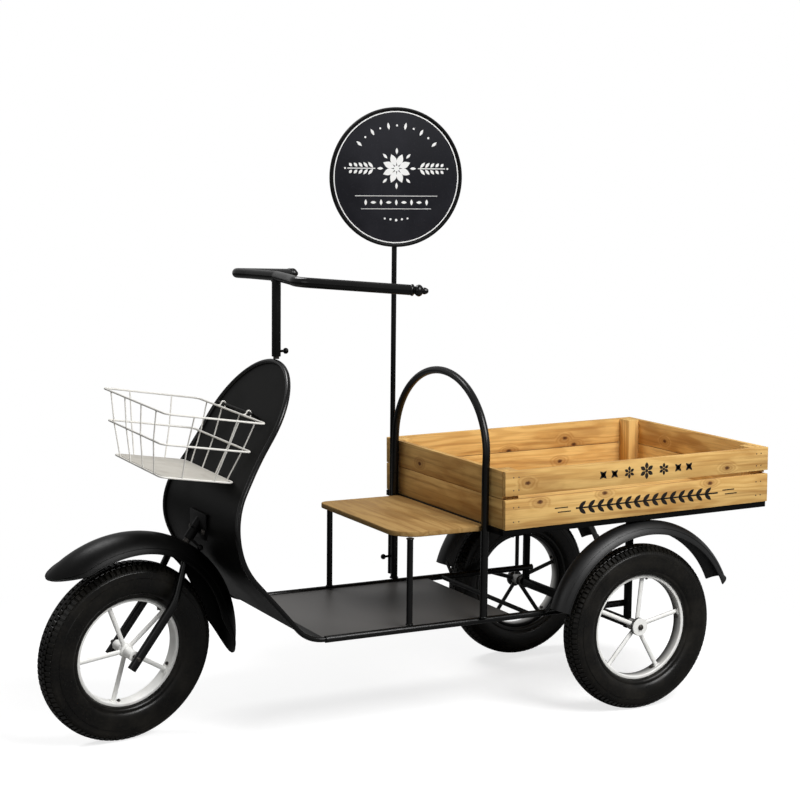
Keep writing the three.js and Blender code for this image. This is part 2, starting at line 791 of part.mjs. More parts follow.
function buildHandlebar() {
  const path = handlebarPath();
  add("handlebar", tube(path, bar_diameter), black_paint());
  const stem_base = 862;
  const height = bar_height - stem_base - 2;
  const wall = [[7.4, 0], [stem_diameter / 2, 0], [stem_diameter / 2, height], [7.4, height], [7.4, 0]];
  const blank = turned(wall, 16, at(stem_x, 0, stem_base), at(0, 0, 1));
  const saddle = tube(path, bar_diameter + 2 * fit_gap);
  const screw_z = 874;
  const screw_hole = bar(at(stem_x + 4, 0, screw_z), at(stem_x + 20, 0, screw_z), 6.8, 12);
  add("handlebar_stem", cut(blank, [saddle, screw_hole]), black_paint());
  add("stem_screw", thumbScrew(at(stem_x + 7.4, 0, screw_z), at(1, 0, 0)), black_paint());
  const peg_base = shield_top.y + 1.4;
  const peg = bar(at(stem_x, 0, peg_base), at(stem_x, 0, 950), 14, 12);
  add("stem_peg", peg, steel());
  for (const [name, end, inner] of [["left", path[0], path[1]], ["right", path.at(-1), path.at(-2)]]) {
    const out = end.clone().sub(inner).normalize();
    const profile = [
      [0, 0],
      [12.5, 0],
      [13.5, 3],
      [12.5, 6],
      [8.5, 9],
      [12, 13],
      [13.5, 18],
      [12, 23],
      [7, 27],
      [8, 30],
      [5, 37],
      [0, 40],
    ];
    add(`finial_${name}`, turned(profile, 14, end.clone().addScaledVector(out, fit_gap), out), black_paint());
  }
}

// ---- wire basket, hooked over a bar that stands off the shield ----
function buildBasket() {
  const basket = new THREE.Group();
  basket.position.copy(basket_centre);
  basket.rotation.set(0.038, 0.153, 0.04, "ZYX");
  const levels = [
    { length: basket_length, width: basket_width, z: 0, wire: basket_wire },
    { length: 216, width: 330, z: -69, wire: basket_wire },
    { length: 176, width: 284, z: -basket_depth, wire: basket_wire },
  ];
  const wires = levels.map(({ length, width, z, wire }) => {
    const x = length / 2;
    const y = width / 2;
    const corners = [at(-x, -y, z), at(x, -y, z), at(x, y, z), at(-x, y, z)];
    return tube(rounded(corners, 26, 3, true), wire, 6, true);
  });
  const spot = (level, sx, sy) => {
    const { length, width, z } = levels[level];
    return at((length / 2) * sx, (width / 2) * sy, z);
  };
  const upright = (sx, sy) => {
    const path = [0, 1, 2].map((level) => spot(level, sx, sy));
    wires.push(tube(path, basket_thin_wire, 6));
  };
  for (const share of [-0.72, -0.26, 0.26, 0.72]) {
    upright(-1, share);
    upright(1, share);
  }
  for (const share of [-0.44, 0.44]) {
    upright(share, -1);
    upright(share, 1);
  }
  for (const y of [-50, 50]) {
    wires.push(bar(at(-88, y, -basket_depth - 1), at(88, y, -basket_depth - 1), basket_thin_wire, 6));
  }
  const hook_x = basket_length / 2 + 14;
  const hook_z = 6;
  const hook_radius = 5.4;
  const hooks = [-64, 76];
  for (const y of hooks) {
    const path = [at(basket_length / 2, y, 0), at(hook_x - hook_radius - 2, y, 2)];
    for (let k = 0; k <= 5; k += 1) {
      const turn = Math.PI - (k * Math.PI) / 5;
      path.push(at(hook_x + hook_radius * Math.cos(turn), y, hook_z + hook_radius * Math.sin(turn)));
    }
    path.push(at(hook_x + hook_radius, y, -4));
    wires.push(tube(path, basket_thin_wire, 6));
  }
  add("basket_cage", joined(wires), cream_paint(), basket);
  const inset = basket_wire / 2 + fit_gap;
  const floor_x = 88 - inset;
  const floor_y = 142 - inset;
  const floor_corner = [
    at(-floor_x, -floor_y, 0),
    at(floor_x, -floor_y, 0),
    at(floor_x, floor_y, 0),
    at(-floor_x, floor_y, 0),
  ];
  const outline = new THREE.Shape(rounded(floor_corner, 24, 3, true).map((p) => new THREE.Vector2(p.x, p.y)));
  const panel = new THREE.ExtrudeGeometry(outline, { depth: 1.5, bevelEnabled: false });
  panel.translate(0, 0, -basket_depth + 1.2);
  add("basket_floor", plain(panel), cream_paint(), basket);
  cart.add(basket);
  buildHanger(basket, at(hook_x, 0, hook_z), hooks);
}

function buildHanger(basket, hook_centre, hooks) {
  basket.updateMatrixWorld(true);
  const end = (y) => basket.localToWorld(at(hook_centre.x, y, hook_centre.z));
  const rod = bar(end(hooks[0] - 24), end(hooks[1] + 24), 6, 10);
  const { point, normal } = profileAt(120);
  const pins = [hooks[0] - 16, hooks[1] + 16].map((y) => {
    const start = end(y);
    const clearance = Math.abs(start.clone().sub(point).dot(normal)) - sheet_thickness / 2 - fit_gap;
    const towards = normal.clone().multiplyScalar(Math.sign(point.clone().sub(start).dot(normal)));
    return bar(start, start.clone().addScaledVector(towards, clearance), 5, 8);
  });
  add("basket_hanger", joined([rod, ...pins]), black_paint());
}

buildFork();
buildRearWheel("rear_left", -1, 96);
buildRearWheel("rear_right", 1, 90);
buildShield();
buildHeadTube();
buildChassis();
buildArch();
buildSeat();
buildRearFender("rear_fender_left", -1);
buildRearFender("rear_fender_right", 1);
buildCrate();
buildSign();
buildHandlebar();
buildBasket();

// The origin is on the floor under the middle of the cart.
cart.updateMatrixWorld(true);
const extent = new THREE.Box3().setFromObject(cart, true);
cart.position.x = -(extent.min.x + extent.max.x) / 2;
cart.position.y = -(extent.min.y + extent.max.y) / 2;
cart.position.z = -extent.min.z;
cart.updateMatrixWorld(true);

export default cart;
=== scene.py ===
"""Visual model of the flower cart stand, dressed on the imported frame.

Every assembly is modelled in millimetres of the cart's own frame: x runs to the rear from close to
the front axle, y to the right of the cart and z up from the floor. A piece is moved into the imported
frame, in metres, when it is finished.
"""
from __future__ import annotations

import logging
import math
from dataclasses import dataclass, field, replace
from enum import Enum
from typing import Callable, Iterable, Sequence, Union

import bmesh
import bpy
from mathutils import Euler, Matrix, Vector


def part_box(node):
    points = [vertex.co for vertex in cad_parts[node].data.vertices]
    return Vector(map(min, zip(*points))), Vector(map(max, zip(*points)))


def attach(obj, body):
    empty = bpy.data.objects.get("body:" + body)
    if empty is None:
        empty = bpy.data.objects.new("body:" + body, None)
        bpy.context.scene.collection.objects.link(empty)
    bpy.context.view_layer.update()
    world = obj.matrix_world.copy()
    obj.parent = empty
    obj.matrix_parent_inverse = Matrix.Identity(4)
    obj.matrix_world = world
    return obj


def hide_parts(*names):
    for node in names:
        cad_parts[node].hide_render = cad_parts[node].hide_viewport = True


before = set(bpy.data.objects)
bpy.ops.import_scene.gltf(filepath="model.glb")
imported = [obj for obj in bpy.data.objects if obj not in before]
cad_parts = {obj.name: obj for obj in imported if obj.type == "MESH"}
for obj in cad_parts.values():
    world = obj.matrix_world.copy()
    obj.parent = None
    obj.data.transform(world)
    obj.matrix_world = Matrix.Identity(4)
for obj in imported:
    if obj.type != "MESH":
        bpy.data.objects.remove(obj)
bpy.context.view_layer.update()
log = logging.getLogger("flower_cart")

REAR_AXLE_X = 1197.0
_rim_low, _rim_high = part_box("rear_left_wheel_rim")
DATUM = (_rim_low.x + _rim_high.x) / 2 - REAR_AXLE_X / 1000
TO_FRAME = Matrix.Translation((DATUM, 0, 0)) @ Matrix.Scale(0.001, 4)
AFT = Vector((1, 0, 0))
ACROSS = Vector((0, 1, 0))
UP = Vector((0, 0, 1))
RAKE = math.radians(36)
STEERING = Vector((math.sin(RAKE), 0, math.cos(RAKE)))
CROWN = Vector((132, 0, 428))
STEER_TURN = math.radians(11)
FORK_DROP = 0.86708
Colour = tuple[float, float, float]


class Side(Enum):
    """A side of the cart, with the sign of its y."""

    LEFT = -1
    RIGHT = 1

    @property
    def word(self) -> str:
        """The side's name in a piece's name."""
        return self.name.lower()


class Grain(Enum):
    """The axis that the grain of a board follows."""

    LENGTHWISE = "X"
    CROSSWISE = "Y"
    UPRIGHT = "Z"


# ---- shader expressions ----
class Sock:
    """A shader socket that adds Math nodes when it stands in an expression."""

    def __init__(self, graph: "Graph", socket: bpy.types.NodeSocket) -> None:
        """Keeps the socket and the graph that it belongs to.

        Args:
            graph: The graph that new nodes go into.
            socket: The output socket that carries the value.
        """
        self.graph = graph
        self.socket = socket

    def __add__(self, other: "Value") -> "Sock":
        """Self plus other."""
        return self.graph.math("ADD", self, other)

    def __sub__(self, other: "Value") -> "Sock":
        """Self minus other."""
        return self.graph.math("SUBTRACT", self, other)

    def __rsub__(self, other: "Value") -> "Sock":
        """Other minus self."""
        return self.graph.math("SUBTRACT", other, self)

    def __mul__(self, other: "Value") -> "Sock":
        """Self times other."""
        return self.graph.math("MULTIPLY", self, other)

    def ramp(self, low: float, high: float) -> "Sock":
        """A smooth step from 0 at low to 1 at high."""
        settings = {"interpolation_type": "SMOOTHSTEP"}
        return self.graph.node("ShaderNodeMapRange", settings, {0: self, 1: low, 2: high})


Value = Union[Sock, float]


class Graph:
    """The nodes of one material, built from expressions."""

    def __init__(self, material: bpy.types.Material) -> None:
        """Takes over a material's node tree.

        Args:
            material: The material, with nodes in use.
        """
        self.tree = material.node_tree
        self.shader = self.tree.nodes["Principled BSDF"]
        self.place = self.node("ShaderNodeTexCoord", {}, {}, "Object")

    def node(
        self,
        kind: str,
        settings: dict[str, object],
        inputs: dict[int | str, object],
        output: int | str = 0,
    ) -> Sock:
        """Adds one node.

        Args:
            kind: The node's type name.
            settings: Its settings, set before the sockets; "stops" fills a colour ramp.
            inputs: Values or sockets by socket name or number.
            output: The output socket that is wanted.

        Returns:
            The wanted output.
        """
        node = self.tree.nodes.new(kind)
        for key, value in settings.items():
            if key == "stops":
                self._fill_ramp(node.color_ramp, value)
            else:
                setattr(node, key, value)
        for key, value in inputs.items():
            self._feed(node.inputs[key], value)
        return Sock(self, node.outputs[output])

    def _feed(self, target: bpy.types.NodeSocket, value: object) -> None:
        """Links a socket to the target, or sets its value."""
        if isinstance(value, Sock):
            self.tree.links.new(value.socket, target)
        elif isinstance(value, tuple) and len(value) == 3 and target.type == "RGBA":
            target.default_value = (*value, 1.0)
        else:
            target.default_value = value

    @staticmethod
    def _fill_ramp(ramp: bpy.types.ColorRamp, stops: Sequence[tuple[float, Colour]]) -> None:
        """Sets the stops of a colour ramp."""
        while len(ramp.elements) < len(stops):
            ramp.elements.new(0.5)
        for element, (position, colour) in zip(ramp.elements, stops):
            element.position = position
            element.color = (*colour, 1.0)

    def math(self, operation: str, first: Value, second: Value) -> Sock:
        """One Math node."""
        return self.node("ShaderNodeMath", {"operation": operation}, {0: first, 1: second})

    def mix(self, factor: Value, first: object, second: object) -> Sock:
        """Mixes two colours.

        Args:
            factor: The share of the second colour.
            first: The colour at factor 0.
            second: The colour at factor 1.

        Returns:
            The mixed colour.
        """
        return self.node("ShaderNodeMix", {"data_type": "RGBA"}, {0: factor, 6: first, 7: second}, 2)

    def stretched(self, scale: Sequence[float], shift: float = 0.0) -> Sock:
        """Object coordinates scaled along each axis and shifted."""
        offset = (shift, shift * 1.7, shift * 0.6)
        inputs = {"Vector": self.place, "Scale": tuple(scale), "Location": offset}
        return self.node("ShaderNodeMapping", {}, inputs)

    def gap(self, point: Sequence[float], scale: Sequence[float]) -> Sock:
        """The distance from a point, scaled along each axis.

        Args:
            point: The point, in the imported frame.
            scale: The scale along each axis.

        Returns:
            The distance.
        """
        shift = tuple(-spot * size for spot, size in zip(point, scale))
        inputs = {"Vector": self.place, "Scale": tuple(scale), "Location": shift}
        where = self.node("ShaderNodeMapping", {}, inputs)
        return self.node("ShaderNodeVectorMath", {"operation": "LENGTH"}, {0: where}, "Value")

    def facing(self, axis: int) -> Sock:
        """How far the surface faces along an axis, from -1 to 1."""
        normal = self.node("ShaderNodeNewGeometry", {}, {}, "Normal")
        return self.node("ShaderNodeSeparateXYZ", {}, {0: normal}, axis)

    def noise(self, scale: float, detail: float = 2.0, where: Sock | None = None) -> Sock:
        """Fractal noise at a scale, on Object coordinates or on the vector given."""
        inputs = {"Vector": where or self.place, "Scale": scale, "Detail": detail}
        return self.node("ShaderNodeTexNoise", {}, inputs)

    def bump(self, height: Sock, distance: float, strength: float = 1.0) -> None:
        """Feeds the shader's normal from a height."""
        inputs = {"Height": height, "Distance": distance, "Strength": strength}
        self.feed(Normal=self.node("ShaderNodeBump", {}, inputs))

    def feed(self, **sockets: object) -> None:
        """Sets or links sockets of the surface shader, an underscore standing for a space."""
        for name, value in sockets.items():
            self._feed(self.shader.inputs[name.replace("_", " ")], value)


# ---- finishes ----
@dataclass(frozen=True)
class Finish:
    """A named finish that paints one material and carries the name of a slot."""

    name: str
    slot: str = field(default="black_paint", kw_only=True)

    def material(self) -> bpy.types.Material:
        """The material of this finish, made on first use."""
        known = bpy.data.materials.get(self.name)
        if known:
            return known
        material = bpy.data.materials.new(self.name)
        material.use_nodes = True
        self.paint(Graph(material))
        return material

    def paint(self, graph: Graph) -> None:
        """Builds the nodes of the finish; each kind of finish has its own."""
        raise NotImplementedError


@dataclass(frozen=True)
class SatinPaint(Finish):
    """Sprayed satin paint with a faint orange peel, dull patches and a little dust."""

    colour: Colour
    dust: Colour
    roughness: float = 0.36
    specular: float = 0.13
    dustiness: float = 0.35

    def paint(self, graph: Graph) -> None:
        """Mixes the dust in by broad patches and upward faces.

        Args:
            graph: The graph of the material.
        """
        patches = graph.noise(7.0, 4.0).ramp(0.42, 0.75)
        specks = graph.noise(260.0, 3.0).ramp(0.56, 0.72)
        dust = (patches * 0.5 + graph.facing(2).ramp(0.2, 1.0) * 0.35 + specks * 0.3) * self.dustiness
        graph.feed(Base_Color=graph.mix(dust, self.colour, self.dust))
        graph.feed(Roughness=patches * 0.12 + self.roughness + specks * 0.05)
        graph.feed(Specular_IOR_Level=self.specular)
        graph.bump(graph.noise(700.0, 2.0), 0.00012, 0.5)


@dataclass(frozen=True)
class PalePaint(Finish):
    """Cream enamel with faint yellowing and a little grey grime."""

    colour: Colour
    grime: Colour
    roughness: float = 0.38
    grubbiness: float = 0.3
    # The side along y whose faces get painted shade, 0 for none.
    bare: int = 0
    slot: str = field(default="cream_paint", kw_only=True)

    def paint(self, graph: Graph) -> None:
        """Grime gathers in soft patches and fine specks; faces turned along y to the shaded side are painted
        black as painted shade.

        Args:
            graph: The graph of the material.
        """
        patches = graph.noise(28.0, 5.0).ramp(0.45, 0.8)
        specks = graph.noise(420.0, 2.0).ramp(0.6, 0.75)
        colour = graph.mix((patches + specks * 0.5) * self.grubbiness, self.colour, self.grime)
        # Painted shade: faces turned along y to that side are mixed to black, standing in for the shade on a
        # wheel's inner face.
        if self.bare:
            colour = graph.mix((graph.facing(1) * self.bare).ramp(-0.3, 0.2), colour, (0.010, 0.010, 0.010))
        graph.feed(Base_Color=colour)
        graph.feed(Roughness=patches * 0.15 + self.roughness, Specular_IOR_Level=0.35)
        graph.bump(graph.noise(520.0, 2.0), 0.00015, 0.4)


@dataclass(frozen=True)
class DeckPaint(Finish):
    """Thin worn paint on a sheet deck, with rubbed smudges and fine scratches."""

    dark: Colour = (0.024, 0.0232, 0.0215)
    pale: Colour = (0.064, 0.061, 0.056)
    slot: str = field(default="deck_paint", kw_only=True)

    def paint(self, graph: Graph) -> None:
        """Smudges run along the deck, scratches cross it.

        Args:
            graph: The graph of the material.
        """
        smudge = graph.noise(6.0, 6.0, graph.stretched((0.55, 1.6, 1.0))).ramp(0.3, 0.72)
        cloud = graph.noise(34.0, 4.0).ramp(0.35, 0.75)
        scratch = graph.noise(60.0, 2.0, graph.stretched((0.35, 14.0, 1.0), 3.0)).ramp(0.62, 0.72)
        share = smudge * 0.62 + cloud * 0.25 + scratch * 0.16
        graph.feed(Base_Color=graph.mix(share, self.dark, self.pale))
        graph.feed(Roughness=0.6 - smudge * 0.2, Specular_IOR_Level=0.16)
        graph.bump(graph.noise(300.0, 3.0) + scratch * 0.4, 0.0002, 0.5)


@dataclass(frozen=True)
class TyreRubber(Finish):
    """Moulded rubber with brownish bloom."""

    slot: str = field(default="tyre", kw_only=True)

    def paint(self, graph: Graph) -> None:
        """The bloom lies in rings and clouds.

        Args:
            graph: The graph of the material.
        """
        cloud = graph.noise(16.0, 5.0).ramp(0.35, 0.8)
        fine = graph.noise(170.0, 4.0).ramp(0.4, 0.7)
        colour = graph.mix(cloud * 0.7 + fine * 0.3, (0.0022, 0.0021, 0.0018), (0.0150, 0.0130, 0.0098))
        graph.feed(Base_Color=colour, Roughness=cloud * 0.2 + 0.27, Specular_IOR_Level=0.26)
        graph.bump(graph.noise(900.0, 3.0), 0.00025, 0.5)


@dataclass(frozen=True)
class DarkSteel(Finish):
    """Darkened fasteners."""

    colour: Colour = (0.045, 0.041, 0.038)
    slot: str = field(default="steel", kw_only=True)

    def paint(self, graph: Graph) -> None:
        """Oil-dark metal with rubbed spots.

        Args:
            graph: The graph of the material.
        """
        spots = graph.noise(180.0, 3.0).ramp(0.45, 0.7)
        graph.feed(Base_Color=graph.mix(spots, self.colour, (0.12, 0.105, 0.09)))
        graph.feed(Metallic=0.75, Roughness=0.52 - spots * 0.16)
        graph.bump(graph.noise(600.0, 2.0), 0.0001, 0.4)


@dataclass(frozen=True)
class Pine(Finish):
    """Oiled pine: growth bands bent round knots, fine fibres and soft stains."""

    grain: Grain
    seed: float
    pale: Colour = (0.75, 0.482, 0.172)
    middle: Colour = (0.56, 0.312, 0.094)
    dark: Colour = (0.26, 0.106, 0.027)
    knots: tuple[tuple[float, float, float], ...] = ()
    slot: str = field(default="pine", kw_only=True)

    def _spread(self, along: float, across: float) -> tuple[float, float, float]:
        """A scale along the grain and one across it, as scales of x, y and z."""
        axis = "XYZ".index(self.grain.value)
        return tuple(along if k == axis else across for k in range(3))

    def _knots(self, graph: Graph) -> tuple[Value, Value, Value]:
        """The shares of the halo, the knot and its core.

        Args:
            graph: The graph of the material.

        Returns:
            The three shares, all 0 on a board without knots.
        """
        if not self.knots:
            return 0.0, 0.0, 0.0
        scale = self._spread(125.0, 210.0)
        near = graph.gap(self.knots[0], scale)
        for knot in self.knots[1:]:
            near = graph.math("MINIMUM", near, graph.gap(knot, scale))
        near = near + graph.noise(230.0, 2.0) * 0.7 - 0.35
        return 1 - near.ramp(0.8, 4.5), 1 - near.ramp(0.75, 1.15), 1 - near.ramp(0.2, 0.75)

    def paint(self, graph: Graph) -> None:
        """Bands, streaks, fibres, knots and stains.

        Args:
            graph: The graph of the material.
        """
        spread, seed = self._spread, self.seed
        halo, knot, core = self._knots(graph)
        drift = graph.noise(1.0, 3.0, graph.stretched(spread(2.2, 9.0), seed + 3.0))
        across = graph.noise(1.0, 2.0, graph.stretched(spread(1.0, 16.0), seed + 7.0))
        bands = graph.math("SINE", (across * 2.2 + drift * 1.6 + halo * 0.6) * 22.0, 0.0) * 0.5 + 0.5
        streaks = graph.noise(1.0, 3.0, graph.stretched(spread(3.0, 120.0), seed + 5.0)).ramp(0.47, 0.72)
        fibres = graph.noise(1.0, 4.0, graph.stretched(spread(14.0, 640.0), seed))
        stain = graph.noise(1.0, 5.0, graph.stretched(spread(4.2, 15.0), seed + 11.0)).ramp(0.36, 0.7)
        colour = graph.mix(bands.ramp(0.15, 1.0) * 0.6 + stain * 0.4, self.pale, self.middle)
        colour = graph.mix(streaks * 0.42 + fibres.ramp(0.5, 0.78) * 0.3, colour, self.dark)
        colour = graph.mix(stain.ramp(0.5, 1.0) * 0.34, colour, self.dark)
        colour = graph.mix(halo * 0.4, colour, self.dark)
        colour = graph.mix(knot * 0.85, colour, (0.13, 0.048, 0.018))
        colour = graph.mix(core * 0.7, colour, (0.04, 0.016, 0.008))
        graph.feed(Base_Color=colour, Roughness=0.64 - bands * 0.1, Specular_IOR_Level=0.14)
        graph.bump(fibres * 0.7 + bands * 0.35 - knot * 0.6, 0.00045, 0.55)


SATIN_BLACK = SatinPaint("satin_black", (0.0020, 0.0020, 0.0020), (0.008, 0.0077, 0.0073), 0.34, 0.1)
GLOSS_BLACK = SatinPaint("gloss_black", (0.0018, 0.0018, 0.0018), (0.007, 0.0067, 0.0063), 0.2, 0.3, 0.3)
GUARD_BLACK = SatinPaint("guard_black", (0.0045, 0.0045, 0.0047), (0.014, 0.0138, 0.0138), 0.38, 0.4, 0.5)
SHIELD_BLACK = SatinPaint("shield_black", (0.0032, 0.0032, 0.0030), (0.0095, 0.0092, 0.0086), 0.4, 0.06)
STENCIL = SatinPaint("stencil_black", (0.012, 0.010, 0.009), (0.06, 0.045, 0.03), 0.7, 0.15, 0.5)
SLATE = SatinPaint(
    "sign_slate", (0.0100, 0.0103, 0.0132), (0.034, 0.034, 0.042), 0.5, 0.07, 0.7, slot="slate_paint"
)
CREAM = PalePaint("cream_enamel", (0.93, 0.925, 0.895), (0.50, 0.47, 0.40), 0.36, 0.24)
PRINT_WHITE = PalePaint("print_white", (0.80, 0.80, 0.79), (0.5, 0.5, 0.5), 0.6, 0.12)
BASKET_WHITE = PalePaint(
    "basket_white", (0.82, 0.80, 0.75), (0.55, 0.50, 0.42), 0.34, 0.22, slot="basket_paint"
)
BASKET_SHEET = PalePaint(
    "basket_sheet", (0.50, 0.475, 0.425), (0.34, 0.31, 0.26), 0.5, 0.4, slot="basket_paint"
)
SEAT_PINE = Pine(
    "seat_pine", Grain.CROSSWISE, 21.3, (0.40, 0.245, 0.088), (0.30, 0.165, 0.050), (0.17, 0.08, 0.020)
)
DECK = DeckPaint("deck_paint")
RUBBER = TyreRubber("tyre_rubber")
STEEL = DarkSteel("dark_steel")


# ---- paths ----
def rounded(points: Sequence[Vector], radius: float, steps: int = 10, loop: bool = False) -> list[Vector]:
    """Replaces each inner corner of a polyline by an arc.

    Args:
        points: The polyline.
        radius: The radius of the arcs.
        steps: The number of chords in each arc.
        loop: Whether the polyline is closed.

    Returns:
        The points of the rounded path.
    """
    out: list[Vector] = []
    count = len(points)
    for i, corner in enumerate(points):
        if not loop and i in (0, count - 1):
            out.append(corner.copy())
            continue
        before = (points[i - 1] - corner).normalized()
        after = (points[(i + 1) % count] - corner).normalized()
        half = before.angle(after) / 2
        centre = (before + after).normalized() * (radius / math.sin(half))
        start = before * (radius / math.tan(half)) - centre
        end = after * (radius / math.tan(half)) - centre
        sweep = start.angle(end)
        for k in range(steps + 1):
            share = k / steps
            arm = start * math.sin((1 - share) * sweep) + end * math.sin(share * sweep)
            out.append(arm / math.sin(sweep) + centre + corner)
    return out


def spaced(points: Sequence[Vector], gap: float) -> list[Vector]:
    """Adds points to a polyline so that no two are further apart than gap.

    Args:
        points: The polyline.
        gap: The greatest distance between two points.

    Returns:
        The polyline with its new points.
    """
    out = [points[0].copy()]
    for start, end in zip(points, points[1:]):
        pieces = max(1, math.ceil((end - start).length / gap))
        out.extend(start.lerp(end, k / pieces) for k in range(1, pieces + 1))
    return out


def smooth(value: float) -> float:
    """A smooth step from 0 to 1."""
    clamped = min(1.0, max(0.0, value))
    return clamped * clamped * (3 - 2 * clamped)


def circle(radius: float, count: int) -> list[tuple[float, float]]:
    """Points evenly spaced on a circle."""
    turns = [2 * math.pi * k / count for k in range(count)]
    return [(radius * math.cos(turn), radius * math.sin(turn)) for turn in turns]


def pointed(reach: float, breadth: float, swell: Callable[[float], float]) -> list[tuple[float, float]]:
    """The outline of a leaf or petal.

    Args:
        reach: Half its length.
        breadth: Half its width.
        swell: The share of the width at a share of the way from the middle to a tip.

    Returns:
        Its corners in order.
    """
    shares = [k / 6 for k in range(-6, 7)]
    upper = [(reach * share, breadth * swell(share)) for share in shares]
    return upper + [(x, -y) for x, y in reversed(upper[1:-1])]


def frame_of(first: Vector, second: Vector, third: Vector, base: Vector) -> Matrix:
    """A frame at base with the three directions as its axes."""
    columns = (first, second, third, base)
    return Matrix([[column[row] for column in columns] for row in range(3)] + [[0, 0, 0, 1]])


def facing(direction: Vector, base: Vector) -> Matrix:
    """A frame at base whose z axis is the direction."""
    return Matrix.Translation(base) @ direction.to_track_quat("Z", "Y").to_matrix().to_4x4()


# ---- mesh forms ----
def items(geometry: Iterable, kind: type) -> list:
    """The members of an operator's result that are of one kind."""
    return [item for item in geometry if isinstance(item, kind)]


class Form:
    """A mesh under construction, in millimetres."""

    def __init__(self) -> None:
        """Starts an empty mesh."""
        self.bm = bmesh.new()

    def _take(self, bm: bmesh.types.BMesh, place: Matrix | None = None) -> "Form":
        """Adds a finished shape, moved to its place.

        Args:
            bm: The shape, which is used up.
            place: The frame that it was made in.

        Returns:
            The form itself.
        """
        if place:
            bmesh.ops.transform(bm, matrix=place, verts=bm.verts[:])
        shape = bpy.data.meshes.new("shape")
        bm.to_mesh(shape)
        bm.free()
        self.bm.from_mesh(shape)
        bpy.data.meshes.remove(shape)
        return self

    def join(self, other: "Form") -> "Form":
        """Adds another form, which is used up."""
        return self._take(other.bm)

    @staticmethod
    def _advance(bm: bmesh.types.BMesh, edges: list) -> tuple[list, list]:
        """Extrudes a row of edges and returns the new vertices and the new row.

        Args:
            bm: The mesh.
            edges: The row of edges.

        Returns:
            The new vertices and the new row of edges.
        """
        made = bmesh.ops.extrude_edge_only(bm, edges=edges)["geom"]
        verts = items(made, bmesh.types.BMVert)
        fresh = set(verts)
        drawn = items(made, bmesh.types.BMEdge)
        row = [edge for edge in drawn if all(vert in fresh for vert in edge.verts)]
        return verts, row

    def sweep(
        self,
        path: Sequence[Vector],
        radius: float | Callable[[float], float],
        sides: int = 16,
        loop: bool = False,
        flat: float = 1.0,
        up: Vector | None = None,
    ) -> "Form":
        """A round bar along a path.

        Args:
            path: The points of its centre line.
            radius: Its radius, or a function of the share of the way along.
            sides: The number of faces round it.
            loop: Whether the bar closes on itself.
            flat: How far the section is flattened along its second axis.
            up: A direction for the section's first axis to start from.

        Returns:
            The form itself.
        """
        bm = bmesh.new()
        frames = self._frames(path, radius, loop, flat, up)
        bmesh.ops.create_circle(bm, cap_ends=False, segments=sides, radius=1.0, matrix=frames[0])
        first = row = bm.edges[:]
        for previous, current in zip(frames, frames[1:]):
            verts, row = self._advance(bm, row)
            bmesh.ops.transform(bm, matrix=current @ previous.inverted(), verts=verts)
        if loop:
            bmesh.ops.bridge_loops(bm, edges=first + row)
        else:
            bmesh.ops.edgeloop_fill(bm, edges=first)
            bmesh.ops.edgeloop_fill(bm, edges=row)
        return self._take(bm)

    @staticmethod
    def _frames(
        path: Sequence[Vector],
        radius: float | Callable[[float], float],
        loop: bool,
        flat: float,
        up: Vector | None,
    ) -> list[Matrix]:
        """Frames along a path that turn as little as possible, scaled to the radius.

        Args:
            path: The points of the centre line.
            radius: The radius, or a function of the share of the way along.
            loop: Whether the path is closed.
            flat: How far the section is flattened along its second axis.
            up: A direction for the first axis to start from.

        Returns:
            A frame for each point.
        """
        count = len(path)
        tangents = []
        for i in range(count):
            before = path[i - 1] if loop or i else path[0]
            after = path[(i + 1) % count] if loop or i + 1 < count else path[i]
            into = (path[i] - before).normalized()
            out = (after - path[i]).normalized()
            tangents.append((into + out).normalized())
        guess = up or (UP if abs(tangents[0].z) < 0.9 else AFT)
        frames = []
        for i, (point, tangent) in enumerate(zip(path, tangents)):
            first = (guess - tangent * guess.dot(tangent)).normalized()
            size = radius(i / max(1, count - 1)) if callable(radius) else radius
            frames.append(frame_of(first * size, tangent.cross(first) * size * flat, tangent, point))
            guess = first
        return frames

    def turned(
        self,
        profile: Sequence[tuple[float, float]],
        base: Vector | None = None,
        axis: Vector | None = None,
        steps: int = 48,
        loop: bool = False,
    ) -> "Form":
        """A turned shape.

        Args:
            profile: (radius, distance along the axis) pairs.
            base: The point that the distances start from.
            axis: The direction of the axis.
            steps: The number of faces round it.
            loop: Whether the profile is closed.

        Returns:
            The form itself.
        """
        bm = bmesh.new()
        verts = [bm.verts.new((radius, 0, along)) for radius, along in profile]
        pairs = list(zip(verts, verts[1:])) + ([(verts[-1], verts[0])] if loop else [])
        edges = [bm.edges.new(pair) for pair in pairs]
        self._spin(bm, verts + edges, UP, 2 * math.pi, steps, False)
        bmesh.ops.remove_doubles(bm, verts=bm.verts[:], dist=1e-3)
        return self._take(bm, facing(axis or UP, base or Vector((0, 0, 0))))

    @staticmethod
    def _spin(
        bm: bmesh.types.BMesh, geometry: list, axis: Vector, angle: float, steps: int, copies: bool
    ) -> None:
        """Spins geometry round an axis through the origin, as a skin or as copies."""
        bmesh.ops.spin(
            bm,
            geom=geometry,
            cent=(0, 0, 0),
            axis=axis,
            dvec=(0, 0, 0),
            angle=angle,
            steps=steps,
            use_merge=not copies,
            use_duplicate=copies,
        )

    def repeated(self, factors: Sequence[int], axis: Vector) -> "Form":
        """Copies the whole form round an axis, each factor multiplying the number of copies.

        Args:
            factors: The factors, whose product is the number of copies.
            axis: The direction of the axis.

        Returns:
            The form itself.
        """
        pitch = 2 * math.pi / math.prod(factors)
        for factor in factors:
            geometry = self.bm.verts[:] + self.bm.edges[:] + self.bm.faces[:]
            self._spin(self.bm, geometry, axis, pitch * (factor - 1), factor - 1, True)
            pitch *= factor
        return self

